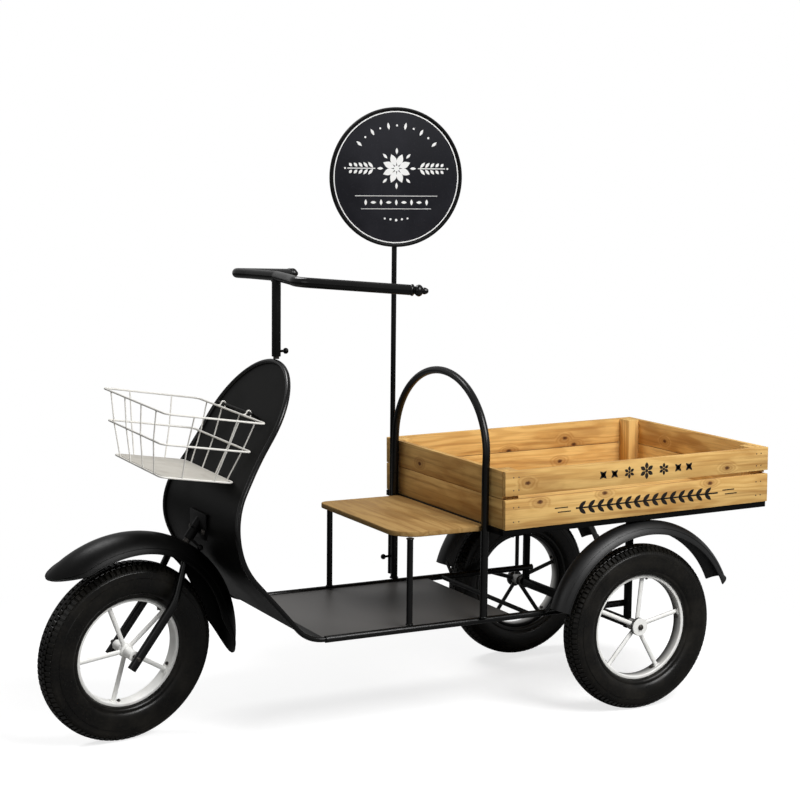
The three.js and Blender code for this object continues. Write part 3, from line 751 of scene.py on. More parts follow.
    def box(
        self, low: Sequence[float], high: Sequence[float], bevel: float = 0.8, place: Matrix | None = None
    ) -> "Form":
        """A box with softened edges.

        Args:
            low: Its lowest corner.
            high: Its highest corner.
            bevel: The width of the softened edges.
            place: A frame that the box is made in.

        Returns:
            The form itself.
        """
        bm = bmesh.new()
        low, high = Vector(low), Vector(high)
        size = Matrix.Diagonal((*(high - low), 1))
        bmesh.ops.create_cube(bm, size=1, matrix=Matrix.Translation((low + high) / 2) @ size)
        if bevel:
            self._bevel(bm, bm.edges[:], bevel, 1 if bevel < 0.8 else 2)
        return self._take(bm, place)

    @staticmethod
    def _bevel(bm: bmesh.types.BMesh, edges: list, offset: float, segments: int) -> None:
        """Softens edges."""
        bmesh.ops.bevel(
            bm, geom=edges, offset=offset, segments=segments, profile=0.5, affect="EDGES", material=-1
        )

    def slab(
        self,
        outline: Sequence[tuple[float, float]],
        low: float,
        high: float,
        bevel: float = 0.0,
        place: Matrix | None = None,
    ) -> "Form":
        """A flat plate cut to an outline in x and y.

        Args:
            outline: The corners in order.
            low: The height of its underside.
            high: The height of its top.
            bevel: The width of the softened edges.
            place: A frame that the plate is made in.

        Returns:
            The form itself.
        """
        bm = bmesh.new()
        face = bm.faces.new([bm.verts.new((x, y, low)) for x, y in outline])
        made = bmesh.ops.extrude_face_region(bm, geom=[face])["geom"]
        bmesh.ops.translate(bm, verts=items(made, bmesh.types.BMVert), vec=(0, 0, high - low))
        if bevel:
            level = [edge for edge in bm.edges if abs(edge.verts[0].co.z - edge.verts[1].co.z) < 1e-6]
            self._bevel(bm, level, bevel, 3)
        return self._take(bm, place)

    def sheet(self, rows: Sequence[Sequence[Vector]], thickness: float) -> "Form":
        """A sheet of even thickness drawn out row by row.

        Args:
            rows: Rows of as many points each, on the middle of the sheet.
            thickness: The sheet's thickness.

        Returns:
            The form itself.
        """
        bm = bmesh.new()
        verts = [bm.verts.new(point) for point in rows[0]]
        row = [bm.edges.new(pair) for pair in zip(verts, verts[1:])]
        order = {vert: i for i, vert in enumerate(verts)}
        for points in rows[1:]:
            verts, row = self._advance(bm, row)
            fresh = {}
            for vert in verts:
                others = (edge.other_vert(vert) for edge in vert.link_edges)
                fresh[vert] = next(order[other] for other in others if other in order)
            order = fresh
            for vert, index in order.items():
                vert.co = points[index]
        bmesh.ops.recalc_face_normals(bm, faces=bm.faces[:])
        bmesh.ops.solidify(bm, geom=bm.faces[:], thickness=thickness)
        return self._take(bm)

    def object(self, name: str, place: Matrix | None = None, crease: float = 32.0) -> bpy.types.Object:
        """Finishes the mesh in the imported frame.

        Args:
            name: The piece's name.
            place: The frame that the form was made in.
            crease: The angle in degrees from which an edge stays sharp.

        Returns:
            The object, at the origin and unturned.
        """
        bmesh.ops.remove_doubles(self.bm, verts=self.bm.verts[:], dist=1e-4)
        bmesh.ops.recalc_face_normals(self.bm, faces=self.bm.faces[:])
        bmesh.ops.transform(self.bm, matrix=TO_FRAME @ (place or Matrix()), verts=self.bm.verts[:])
        mesh = bpy.data.meshes.new(name)
        self.bm.to_mesh(mesh)
        self.bm.free()
        mesh.shade_smooth()
        mesh.set_sharp_from_angle(angle=math.radians(crease))
        piece = bpy.data.objects.new(name, mesh)
        bpy.context.scene.collection.objects.link(piece)
        return piece


# ---- assemblies ----
@dataclass(kw_only=True)
class Assembly:
    """A sub-assembly whose pieces ride on a body of the frame."""

    body: str = "chassis"

    def add(
        self,
        form: Form,
        name: str,
        finish: Finish,
        nodes: Sequence[str] = (),
        place: Matrix | None = None,
        body: str | None = None,
    ) -> bpy.types.Object:
        """Finishes a form as a piece of the cart.

        Args:
            form: The form.
            name: The piece's name.
            finish: Its finish.
            nodes: The CAD nodes that it stands for.
            place: The frame that the form was made in.
            body: The body that it rides on, if not the assembly's own.

        Returns:
            The finished piece.
        """
        piece = form.object(name, place)
        piece.data.materials.append(finish.material())
        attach(piece, body or self.body)
        if nodes:
            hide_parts(*nodes)
        log.info("%s: %d faces on %s", name, len(piece.data.polygons), body or self.body)
        return piece


def weld_ring(form: Form, centre: Vector, axis: Vector, radius: float, bead: float = 1.7) -> None:
    """Lays a round weld bead.

    Args:
        form: The form that it is added to.
        centre: The middle of the ring.
        axis: The direction that the ring is square to.
        radius: The ring's radius.
        bead: The bead's radius.
    """
    place = facing(axis, centre)
    path = [place @ Vector((x, y, 0)) for x, y in circle(radius, 28)]
    form.sweep(path, bead, 8, loop=True, up=axis)


class Hub(Enum):
    """The hub of a wheel, as (radius, distance along the axle) pairs."""

    FRONT = (
        (0, -42.3), (11.4, -42.3), (12, -41.7), (12, -9), (15.2, -7.4), (16, -6.6),
        (16, 6.6), (15.2, 7.4), (12, 9), (12, 41.7), (11.4, 42.3), (0, 42.3),
    )
    REAR = (
        (0, -22), (13.2, -22), (14, -21.2), (14, 3), (19.5, 5),
        (21, 6), (21.5, 7), (21.5, 15.6), (20.6, 17), (0, 17),
    )


@dataclass(kw_only=True)
class Wheel(Assembly):
    """A spoked wheel with a block-tread tyre, built on the y axis."""

    prefix: str
    place: Matrix
    radius: float
    first_spoke: float
    hub: Hub
    half_width: float = 33.0
    bead: float = 128.3
    barrel: float = 120.0
    spokes: int = 5
    spoke_radius: float = 5.5
    spoke_reach: float = 118.6
    enamel: PalePaint = CREAM

    def build(self) -> None:
        """Makes the tyre, the rim, the hub with its spokes and the bolts."""
        self.add(self.tyre(), f"{self.prefix}_tyre_rubber", RUBBER, [f"{self.prefix}_tyre"], self.place)
        self.add(self.rim(), f"{self.prefix}_rim_ring", self.enamel, [f"{self.prefix}_rim"], self.place)
        spider = f"{self.prefix}_hub_and_spokes"
        self.add(self.spider(), f"{self.prefix}_spider", self.enamel, [spider], self.place)
        self.add(self.bolts(), f"{self.prefix}_bolts", STEEL, (), self.place)

    def _wall(self) -> list[tuple[float, float]]:
        """The right half of the tyre's section without its blocks, from the bead to the crown."""
        crown = self.radius
        wall = (crown + self.bead) / 2
        full = self.half_width
        return [
            (self.bead, 14.5), (128.8, 19.0), (130.4, 22.6), (133.2, 25.0), (136.4, 25.8), (138.4, 25.3),
            (139.8, 25.7), (141.4, 27.6), (146.5, 30.0),
            (wall - 14, 31.6), (wall - 4, 32.7), (wall + 5, full),
            (wall + 8.6, full - 0.1), (wall + 9.6, full - 1.9), (wall + 15, 30.4), (crown - 19, 29.9),
            (crown - 18.4, 29.4), (crown - 13.6, 28.2), (crown - 12.6, 25.0), (crown - 8.0, 18.4),
            (crown - 4.2, 9.0), (crown - 3.6, 0.0),
        ]

    def tyre(self) -> Form:
        """The carcass with its rows of blocks and the fine ribs below the shoulder."""
        right = self._wall()
        left = [(radius, -along) for radius, along in reversed(right[:-1])]
        form = Form().turned(right + left, axis=ACROSS, steps=128, loop=True)
        crown = self.radius
        half_pitch = math.pi / 96
        rows = [
            (crown - 7.95, 22.9, 39.0, 6.5, 4.5, 0.0),
            (crown - 1.5, 12.6, 14.0, 3.6, 4.9, 1.0),
            (crown - 0.3, 4.2, 2.0, 3.3, 4.7, 0.0),
        ]
        tread, ribs = Form(), Form()
        for sign in (-1, 1):
            for radial, along, tilt, reach, length, stagger in rows:
                place = Matrix.Rotation(half_pitch * stagger, 4, "Y") @ self._block(
                    radial, sign * along, sign * tilt
                )
                tread.box((-4.4, -reach, -length), (0.1, reach, length), 0.7, place)
            ribs.box(
                (-1, -2.1, -0.7), (0.9, 2.1, 0.7), 0, self._block(crown - 15.9, sign * 28.6, sign * 76)
            )
        axle = ACROSS
        return form.join(tread.repeated((2, 2, 2, 2, 2, 3), axle)).join(
            ribs.repeated((2, 2, 2, 2, 2, 2, 3), axle)
        )

    def _block(self, radial: float, along: float, tilt: float) -> Matrix:
        """The frame of a tread block, its x axis pointing out of the rubber."""
        return Matrix.Translation((radial, along, 0)) @ Matrix.Rotation(math.radians(tilt), 4, "Z")

    def rim(self) -> Form:
        """The rim with its rolled flanges and sunk well."""
        right = [
            (self.barrel, 12.6), (self.barrel + 0.5, 14.4), (122.0, 15.4), (126.4, 15.5), (127.8, 14.8),
            (128.0, 13.2), (127.4, 11.9), (125.6, 11.3), (124.2, 10.4), (123.5, 8.6),
        ]
        left = [(radius, -along) for radius, along in reversed(right)]
        return Form().turned(right + left, axis=ACROSS, steps=128, loop=True)

    def _spoke_frames(self) -> list[Matrix]:
        """A frame along each spoke, x outwards and y along the axle."""
        step = 360 / self.spokes
        turns = (math.radians(self.first_spoke + k * step) for k in range(self.spokes))
        return [Matrix.Rotation(-turn, 4, "Y") for turn in turns]

    def spider(self) -> Form:
        """The hub and its flattened tube spokes, with the feet that hold them to the rim."""
        form = Form().turned(self.hub.value, axis=ACROSS, steps=48)
        for turn in self._spoke_frames():
            path = [turn @ Vector((reach, 0, 0)) for reach in (7.0, 60.0, self.spoke_reach)]
            form.sweep(path, self.spoke_radius, 16, flat=0.8, up=turn @ UP)
            form.box((self.barrel - 2.2, -7.5, -8.0), (self.barrel + 0.4, 7.5, 8.0), 0.6, turn)
            weld_ring(form, turn @ Vector((self.barrel - 2.0, 0, 0)), turn @ AFT, 5.4, 1.2)
        return form

    def bolts(self) -> Form:
        """A bolt head beside the foot of each spoke."""
        form = Form()
        head = [(0, 0), (4.2, 0), (4.6, 0.5), (4.6, 3.0), (4.0, 3.6), (0, 3.6)]
        shank = [(0, 3.0), (2.4, 3.0), (2.4, 5.2), (1.9, 5.8), (0, 5.8)]
        for turn in self._spoke_frames():
            base = turn @ Vector((self.barrel - 0.4, 0, 13.5))
            form.turned(head, base, turn @ Vector((-1, 0, 0)), 6)
            form.turned(shank, base, turn @ Vector((-1, 0, 0)), 12)
        return form


@dataclass(kw_only=True)
class Mudguard(Assembly):
    """A domed sheet guard bent round a wheel, with a bead near each edge."""

    name: str
    centre: Vector
    crown: float
    dome: tuple[float, float]
    dome_width: float
    edge: float
    start: float
    end: float
    tapers: tuple[float, float] = (0.0, 0.0)
    sheet: float = 2.2
    press: float = 0.9
    beaded_ends: tuple[float, ...] = (0.0, 1.0)
    place: Matrix = field(default_factory=Matrix)

    def _share(self, distance: float, taper: float) -> float:
        """How much of the full width is reached at a distance from a rounded end."""
        part = min(1.0, abs(distance) / taper) if taper else 1.0
        return math.sqrt(1 - (1 - part) ** 2)

    def spot(self, way: float, across: float, lift: float = 0.0, trim: float = 0.0) -> Vector:
        """A point of the guard.

        Args:
            way: The share of the way from start to end.
            across: The place across it, from -1 to 1.
            lift: A distance outwards from the sheet.
            trim: A distance in from the side edges.

        Returns:
            The point.
        """
        degrees = self.start + (self.end - self.start) * way
        first, last = self.tapers
        share = self._share(degrees - self.start, first) * self._share(self.end - degrees, last)
        half = max(self.edge * max(share, 0.08) - trim, 1.5)
        y = half * across
        dome = self.dome[0] + (self.dome[1] - self.dome[0]) * smooth((way - 0.3) / 0.6)
        radius = self.crown - dome + dome * math.sqrt(1 - (y / self.dome_width) ** 2) + lift
        turn = math.radians(degrees)
        return self.centre + Vector((radius * math.cos(turn), y, radius * math.sin(turn)))

    def shell(self, steps: int, columns: int) -> Form:
        """The sheet, its rolled edge and the pressed line above the edge.

        Args:
            steps: The number of rows along the guard.
            columns: The number of faces across it.

        Returns:
            The form of the guard.
        """
        ways = [smooth_ends(i / steps) for i in range(steps + 1)]
        places = [-math.cos(math.pi * k / columns) for k in range(columns + 1)]
        rows = [[self.spot(way, place) for place in places] for way in ways]
        form = Form().sheet(rows, self.sheet)
        for sign in (-1, 1):
            form.sweep([self.spot(way, sign) for way in ways], 1.7, 8)
            inner = [way for way in ways if 0.03 < way < 0.97]
            form.sweep([self.spot(way, sign, 1.0, 6.0) for way in inner], self.press, 6)
        for way in self.beaded_ends:
            form.sweep([self.spot(way, -1 + k / 6) for k in range(13)], 1.7, 8)
        return form

    def build(self) -> None:
        """Makes a front guard."""
        self.add(self.shell(96, 28), "front_guard", SATIN_BLACK, [self.name], self.place)


def smooth_ends(share: float) -> float:
    """Spaces shares more closely near 0 and 1."""
    return share * 0.4 + 0.6 * (1 - math.cos(math.pi * share)) / 2


@dataclass(kw_only=True)
class RearGuard(Mudguard):
    """A rear mudguard with the stay to the side rail and the stud to the crate frame."""

    side: Side
    stud_top: float = 461.8
    press: float = 0.6
    beaded_ends: tuple[float, ...] = (0.0,)

    def build(self) -> None:
        """Makes the guard in one piece with its stay and stud."""
        form = self.shell(84, 24)
        sign = self.side.value
        stay = [Vector((968, sign * y, z)) for y, z in ((232, 250), (240, 258), (256, 273.3))]
        form.sweep(stay, 4, 12)
        foot = Vector((self.centre.x, self.centre.y, self.centre.z + 262))
        form.sweep([foot, Vector((foot.x, foot.y, self.stud_top))], 6, 16)
        lip = [self.spot(0.0, -1 + k / 6, 1.6) for k in range(13)]
        form.sweep(lip, 1.3, 8)
        self.add(form, f"{self.side.word}_rear_guard", GUARD_BLACK, [self.name])


@dataclass(kw_only=True)
class FrontFork(Assembly):
    """The raked fork: two bent legs, the crown plate, the steerer with its nut and the axle."""

    place: Matrix
    axle: Vector = field(default_factory=lambda: Vector((3, 0, 210.5)))
    half_spread: float = 54.0
    low_radius: float = 10.4
    high_radius: float = 8.0
    trail: float = 4.5
    body: str = "fork"

    def along(self, distance: float) -> Vector:
        """The point of the steering axis at a distance above the crown."""
        return CROWN + STEERING * distance

    def leg_path(self, side: Side) -> list[Vector]:
        """The centre line of a leg, from its foot to the crown.

        Args:
            side: The side that the leg is on.

        Returns:
            The points of the line.
        """
        behind = Vector((math.cos(RAKE), 0, -math.sin(RAKE))) * self.trail
        out = Vector((0, side.value * self.half_spread, 0))
        foot = self.axle + behind - STEERING * 28 + out
        elbow = self.axle + behind + STEERING * 150 + out
        top = Vector((CROWN.x - 5, side.value * 35, CROWN.z - 7))
        return rounded([foot, elbow, top], 120, 14)

    def build(self) -> None:
        """Makes the legs, the crown, the steerer, the nut and the axle."""
        for side in Side:
            form = Form().sweep(spaced(self.leg_path(side), 24), self.leg_radius, 24)
            name = f"fork_leg_{side.word}"
            self.add(form, f"{side.word}_fork_tube", GLOSS_BLACK, [name], self.place)
        tilt = Matrix.Translation(self.along(-8)) @ Matrix.Rotation(RAKE, 4, "Y")
        crown = Form().box((-15, -40, -4.5), (15, 40, 4.5), 1.5, tilt)
        weld_ring(crown, self.along(-3.6), STEERING, 8.6, 1.6)
        self.add(crown, "fork_crown_plate", SATIN_BLACK, ["fork_crown"], self.place)
        rod = [(0, -3.2), (8, -3.2), (8, 134.2), (7.2, 135), (0, 135)]
        self.add(Form().turned(rod, CROWN, STEERING), "steerer_rod", STEEL, ["steerer"], self.place)
        nut = [(8.4, 0), (12.2, 0), (13, 0.8), (13, 8.2), (12.2, 9), (8.4, 9)]
        hexagon = Form().turned(nut, self.along(123), STEERING, 6, loop=True)
        self.add(hexagon, "steerer_hex_nut", STEEL, ["steerer_nut"], self.place)
        pin = [(0, -64.5), (4.4, -64.5), (5, -63.9), (5, 63.9), (4.4, 64.5), (0, 64.5)]
        axle = Form().turned(pin, self.axle, ACROSS, 24)
        self.add(axle, "front_axle_rod", STEEL, ["front_axle"], self.place)

    def leg_radius(self, way: float) -> float:
        """The leg's radius, narrowing towards the crown."""
        return self.low_radius + (self.high_radius - self.low_radius) * smooth((way - 0.45) / 0.5)


@dataclass(kw_only=True)
class LegShield(Assembly):
    """The leg shield, its edge rod and the head tube with its plate and screws."""

    top: Vector = field(default_factory=lambda: Vector((368.5, 0, 855)))
    knee: Vector = field(default_factory=lambda: Vector((141, 0, 481)))
    foot: Vector = field(default_factory=lambda: Vector((350, 0, 245)))
    half_width: float = 194.0
    flare: float = 42.0
    crown_length: float = 178.0
    foot_half: float = 226.0
    rod: float = 6.0
    sheet: float = 2.5

    def __post_init__(self) -> None:
        """Works out the side profile and its length."""
        upper = rounded([self.top, self.knee, self.foot], 165, 40)[:-1]
        lower = rounded([upper[-1], self.foot, self.foot + Vector((90, 0, 0))], 90, 24)[:-1]
        self.profile = spaced(upper[:-1] + lower, 12)
        self.length = sum((b - a).length for a, b in zip(self.profile, self.profile[1:]))

    def at(self, distance: float) -> Vector:
        """The point of the side profile at a distance below the top edge.

        Args:
            distance: The distance along the sheet.

        Returns:
            The point, at the middle of the cart.
        """
        rest = distance
        for start, end in zip(self.profile, self.profile[1:]):
            step = (end - start).length
            if rest <= step:
                return start.lerp(end, rest / step)
            rest -= step
        return self.profile[-1].copy()

    def stations(self, inset: float) -> list[tuple[float, float]]:
        """The outline as (distance below the top, half width) pairs, drawn in by inset.

        Args:
            inset: How far the outline is drawn in.

        Returns:
            The pairs from the top down.
        """
        found = []
        for k in range(33):
            turn = math.pi / 2 * (0.02 + 0.98 * k / 32)
            distance = self.crown_length - (self.crown_length - inset) * math.cos(turn)
            found.append((distance, (self.half_width - inset) * math.sin(turn)))
        for k in range(1, 65):
            distance = self.crown_length + (self.length - self.crown_length) * k / 64
            flare = self.flare * smooth((distance - 210) / 240)
            draw_in = (self.half_width + self.flare - self.foot_half) * smooth((distance - 600) / 140)
            found.append((distance, self.half_width + flare - draw_in - inset))
        return found

    def build(self) -> None:
        """Makes the sheet, the rod, the head tube and the screws."""
        rows = []
        for distance, half in self.stations(10.5):
            middle = self.at(distance)
            rows.append([middle + Vector((0, half * (-1 + k / 6), 0)) for k in range(13)])
        plate = Form().sheet(rows, self.sheet)
        self.add(plate, "shield_sheet", SHIELD_BLACK, ["leg_shield"])
        edge = [(self.at(distance), half) for distance, half in self.stations(self.rod)]
        left = [point - Vector((0, half, 0)) for point, half in reversed(edge)]
        right = [point + Vector((0, half, 0)) for point, half in edge]
        rod = Form().sweep(left + right, self.rod, 16)
        self.add(rod, "shield_rim_rod", GLOSS_BLACK, ["shield_edge_rod"])
        self.head()

    def head(self) -> None:
        """Makes the head tube, its plate, the bolts and the locking screw."""
        face = min(point.x for point in self.profile) - self.sheet / 2 - 0.3
        tube = [(8.4, 0), (10.2, 0), (11, 0.8), (11, 85.2), (10.2, 86), (8.4, 86)]
        form = Form().turned(tube, CROWN + STEERING * 32, STEERING, loop=True)
        form.box((face - 4, -50, 456), (face, 50, 516), 1.2)
        weld_ring(form, CROWN + STEERING * 60, STEERING, 11.4, 1.8)
        self.add(form, "head_tube_welded", SATIN_BLACK, ["head_tube"])
        for side in Side:
            base = Vector((face, side.value * 38, 474))
            head = [(0, -9.3), (5.4, -9.3), (6.4, -8.8), (7, -7.8), (7, -4.3)]
            head += [(4, -4.3), (4, -0.6), (0, -0.6)]
            bolt = Form().turned(head, base, AFT, 24)
            self.add(bolt, f"{side.word}_head_bolt", STEEL, [f"head_bolt_{side.word}"])
        out = Vector((0.3, -0.85, -0.43)).normalized()
        tip = CROWN + STEERING * 37 + out * 8.6
        self.add(
            thumb_screw(tip, out, 30), "head_lock_screw", SATIN_BLACK, ["head_screw"], body="head_screw_body"
        )


def thumb_screw(tip: Vector, out: Vector, shaft: float = 12.0) -> Form:
    """A small round-headed hand screw.

    Args:
        tip: The end that goes in.
        out: The direction of its head.
        shaft: The length below the head.

    Returns:
        The form.
    """
    head = [(3, 0), (5.6, 0.4), (6.6, 1.6), (7, 3.4), (6.9, 5.4), (6.2, 7.6)]
    head += [(4.6, 9.4), (2.4, 10.3), (0, 10.5)]
    return Form().turned([(0, 0), (2.6, 0), (3, 0.6)] + [(r, z + shaft) for r, z in head], tip, out, 24)


@dataclass(kw_only=True)
class Chassis(Assembly):
    """Rails, deck, cross rod, axle beam, uprights, seat legs, rear axles and the arch."""

    floor: float = 245.0
    rail_y: float = 220.0
    rail_start: float = 393.0
    rail_end: float = 1207.5
    deck_end: float = 888.0
    upright: Vector = field(default_factory=lambda: Vector((1200, 236, 462.1)))
    leg: Vector = field(default_factory=lambda: Vector((609, 214, 456.7)))
    arch_x: float = 798.0
    arch_half: float = 227.5
    arch_spring: float = 627.0
    arch_top: float = 811.0
    axle_height: float = 201.5

    def build(self) -> None:
        """Makes the frame on both sides and what crosses it."""
        for side in Side:
            self.side_frame(side)
        reach = self.rail_y - 8.3
        low, high = (self.rail_start, -reach, self.floor - 1.5), (self.deck_end, reach, self.floor + 1.5)
        deck = Form().box(low, high, 0.7)
        self.add(deck, "deck_sheet", DECK, ["footboard"])
        rod = Form().sweep([Vector((932, -reach, self.floor)), Vector((932, reach, self.floor))], 5.5, 20)
        self.add(rod, "rear_cross_rod", SATIN_BLACK, ["cross_rod"])
        end = self.upright.y - 7.8
        ends = [Vector((REAR_AXLE_X, sign * end, self.axle_height)) for sign in (-1, 1)]
        self.add(Form().sweep(ends, 12, 28), "axle_beam_tube", SATIN_BLACK, ["axle_beam"])
        self.arch()

    def side_frame(self, side: Side) -> None:
        """Makes the rail, the upright, the seat leg and the stub axle of a side.

        Args:
            side: The side.
        """
        sign = side.value
        rail_y = sign * self.rail_y
        line = [Vector((x, rail_y, self.floor)) for x in (self.rail_start, 800, self.rail_end)]
        rail = Form().sweep(line, 8, 24)
        self.add(rail, f"{side.word}_rail", GLOSS_BLACK, [f"side_rail_{side.word}"])
        x, y, top = self.upright
        low, high = (x - 7.5, sign * y - 7.5, 187.5), (x + 7.5, sign * y + 7.5, top)
        post = Form().box(low, high, 1.4)
        self.add(post, f"{side.word}_upright", SATIN_BLACK, [f"rear_upright_{side.word}"])
        x, y, top = self.leg
        foot = Vector((x, sign * y, self.floor + 8.3))
        leg = Form().sweep([foot, Vector((x, sign * y, top))], 7.25, 24)
        weld_ring(leg, foot + Vector((0, 0, 1.2)), UP, 7.6)
        weld_ring(leg, Vector((x, sign * y, top - 2.0)), UP, 7.6)
        self.add(leg, f"{side.word}_seat_leg", GLOSS_BLACK, [f"seat_leg_{side.word}"])
        inner = 279 - self.upright.y - 7.5
        stub = [(0, 0.3 - inner), (11, 0.3 - inner), (11, -22.3), (5, -22.3), (5, 17.3)]
        stub += [(6.4, 17.3), (7, 17.9), (7, 19.4), (6.2, 20.6), (4.6, 21.6), (0, 22)]
        base = Vector((REAR_AXLE_X, sign * 279, self.axle_height))
        axle = Form().turned(stub, base, Vector((0, sign, 0)), 32)
        self.add(axle, f"{side.word}_stub_axle", STEEL, [f"rear_{side.word}_axle"])

    def arch(self) -> None:
        """Makes the arch behind the seat, which leans back a little at its top."""
        foot = self.floor + 8.3
        points = [Vector((self.arch_x, -self.arch_half, z)) for z in (foot, 430, 560, 600)]
        for k in range(61):
            turn = math.pi - k * math.pi / 60
            z = self.arch_spring + (self.arch_top - self.arch_spring) * math.sin(turn)
            lean = 8 * max(0.0, z - 600) / 220
            points.append(Vector((self.arch_x + lean, self.arch_half * math.cos(turn), z)))
        points += [Vector((self.arch_x, self.arch_half, z)) for z in (600, 560, 430, foot)]
        hoop = Form().sweep(points, 9, 24, up=AFT)
        for sign in (-1, 1):
            base = Vector((self.arch_x, sign * self.arch_half, foot + 1.4))
            weld_ring(hoop, base, UP, 9.4, 2.0)
        self.add(hoop, "arch_tube", GLOSS_BLACK, ["arch_hoop"])


@dataclass(kw_only=True)
class Seat(Assembly):
    """The small wooden seat, rounder at its left front corner than at its right."""

    front: float = 579.0
    rear: float = 806.0
    half_width: float = 217.0
    top: float = 470.0
    thickness: float = 13.0
    left_corner: float = 62.0
    right_corner: float = 22.0

    def build(self) -> None:
        """Cuts the board to its outline and rounds its edges over."""
        outline = [(self.rear, -self.half_width), (self.rear, self.half_width)]
        for radius, side, begin in ((self.right_corner, 1, 90.0), (self.left_corner, -1, 180.0)):
            for k in range(13):
                turn = math.radians(begin + 90 * k / 12)
                x, y = self.front + radius, side * (self.half_width - radius)
                outline.append((x + radius * math.cos(turn), y + radius * math.sin(turn)))
        board = Form().slab(outline, self.top - self.thickness, self.top, 2.2)
        self.add(board, "seat_plank", SEAT_PINE, ["seat_board"])


@dataclass(kw_only=True)
class Crate(Assembly):
    """The slatted crate, its frame and the stencilled ornament on its left side."""

    body: str = "crate"
    front: Vector = field(default_factory=lambda: Vector((811, 0, 471)))
    slope: float = 0.0146
    length: float = 757.0
    width: float = 596.0
    plank: float = 13.0
    lower: float = 70.0
    height: float = 136.5
    base: float = 0.3
    film: float = 0.25

    def __post_init__(self) -> None:
        """Works out the frame of the sloping crate."""
        self.place = Matrix.Translation(self.front) @ Matrix.Rotation(-self.slope, 4, "Y")
        self.half = self.width / 2

    def board(self, low: Sequence[float], high: Sequence[float], form: Form | None = None) -> Form:
        """A sawn board with its edges broken."""
        return (form or Form()).box(low, high, 1.1)

    def build(self) -> None:
        """Makes the frame, the sides, the ends, the floor, the nails and the ornament."""
        half, thick = self.half, self.plank
        rails = Form()
        over_axle = REAR_AXLE_X - self.front.x
        for low, high in (
            ((-3.2, -half + 4), (self.length - 2, -half + 24)),
            ((-3.2, half - 24), (self.length - 2, half - 4)),
            ((-3.2, -half + 5), (17, half - 5)),
            ((self.length - 22, -half + 5), (self.length - 2, half - 5)),
            ((over_axle - 10, -half + 5), (over_axle + 10, half - 5)),
        ):
            rails.box((*low, -14), (*high, 0), 1.0)
        self.add(rails, "crate_angle_frame", SATIN_BLACK, ["crate_frame"], self.place, body="chassis")
        boards = (
            (Side.LEFT, "lower", self.base, self.lower, 1.0, ((93, 59), (273, 64), (580, 61))),
            (Side.LEFT, "upper", self.lower + 9, self.height, 4.0, ((60, 106), (631, 94))),
            (Side.RIGHT, "lower", self.base, self.lower, 7.7, ((520, 33),)),
            (Side.RIGHT, "upper", self.lower + 1.5, self.height, 12.4, ((536, 95), (565, 76), (360, 74))),
        )
        for side, level, low, high, seed, knots in boards:
            outer = side.value * half
            inner = outer - side.value * thick
            form = self.board((0, min(outer, inner), low), (self.length, max(outer, inner), high))
            name = f"{side.word}_{level}_slat"
            seen = outer if side is Side.LEFT else inner
            spots = tuple(tuple(TO_FRAME @ self.place @ Vector((x, seen, z))) for x, z in knots)
            finish = Pine(f"pine_{name}", Grain.LENGTHWISE, seed, knots=spots)
            self.add(form, name, finish, [f"crate_{side.word}_{level}_plank"], self.place)
        self.end("front", 0.0, thick - 1, 16.2)
        self.end("rear", self.length - thick, self.length - thick - 31, 19.5)
        floor = Form()
        reach = half - thick - 0.3
        step = 2 * reach / 5
        deep, gap, beside = 10, 0.6, 46.5
        x0, x1 = thick + 0.3, self.length - thick - 0.3
        for k in range(5):
            low = -reach + k * step
            inset = 33 if k in (0, 4) else 0
            y0, y1 = low + gap, low + step - gap
            floor.box((x0 + inset, y0, self.base), (x1 - inset, y1, self.base + deep), 0.8)
            if inset:
                y0, y1 = (low + beside, y1) if k == 0 else (y0, low + step - beside)
                for start in (x0, x1 - inset + 0.3):
                    floor.box((start, y0, self.base), (start + inset - 0.3, y1, self.base + deep), 0.8)
        finish = Pine("pine_bottom", Grain.LENGTHWISE, 31.0)
        self.add(floor, "crate_bottom", finish, ["crate_floor"], self.place)
        self.nails()
        self.ornament()

    def end(self, name: str, x0: float, post_x: float, seed: float) -> None:
        """Makes an end of two boards and its two corner posts.

        Args:
            name: The name of the end.
            x0: Where its boards start along the crate.
            post_x: Where its posts start.
            seed: A number that sets its grain apart.
        """
        reach = self.half - self.plank - 1.4
        form = self.board((x0, -reach, self.base), (x0 + self.plank, reach, self.lower))
        self.board((x0, -reach, self.lower + 1.5), (x0 + self.plank, reach, self.height), form)
        spot = tuple(TO_FRAME @ self.place @ Vector((x0, 117, 94)))
        boards = Pine(f"pine_{name}", Grain.CROSSWISE, seed, knots=(spot,))
        self.add(form, f"crate_{name}_end", boards, [f"crate_{name}_panel"], self.place)
        posts = Form()
        for y0 in (-reach, reach - 45):
            self.board((post_x, y0, self.base), (post_x + 32, y0 + 45, self.height - 0.5), posts)
        upright = Pine(f"pine_{name}_posts", Grain.UPRIGHT, seed + 2.5)
        self.add(posts, f"crate_{name}_posts", upright, (), self.place)

    def nails(self) -> None:
        """Makes the nail heads that hold the slats to the posts."""
        form = Form()
        head = [(0, -0.4), (1.7, -0.4), (1.7, 0.12), (1.2, 0.3), (0, 0.34)]
        for side in Side:
            for x in (22, 36, self.length - 36, self.length - 22):
                for z in (18, 52, 92, 122):
                    form.turned(head, Vector((x, side.value * self.half, z)), ACROSS * side.value, 10)
        self.add(form, "crate_nails", STEEL, (), self.place)

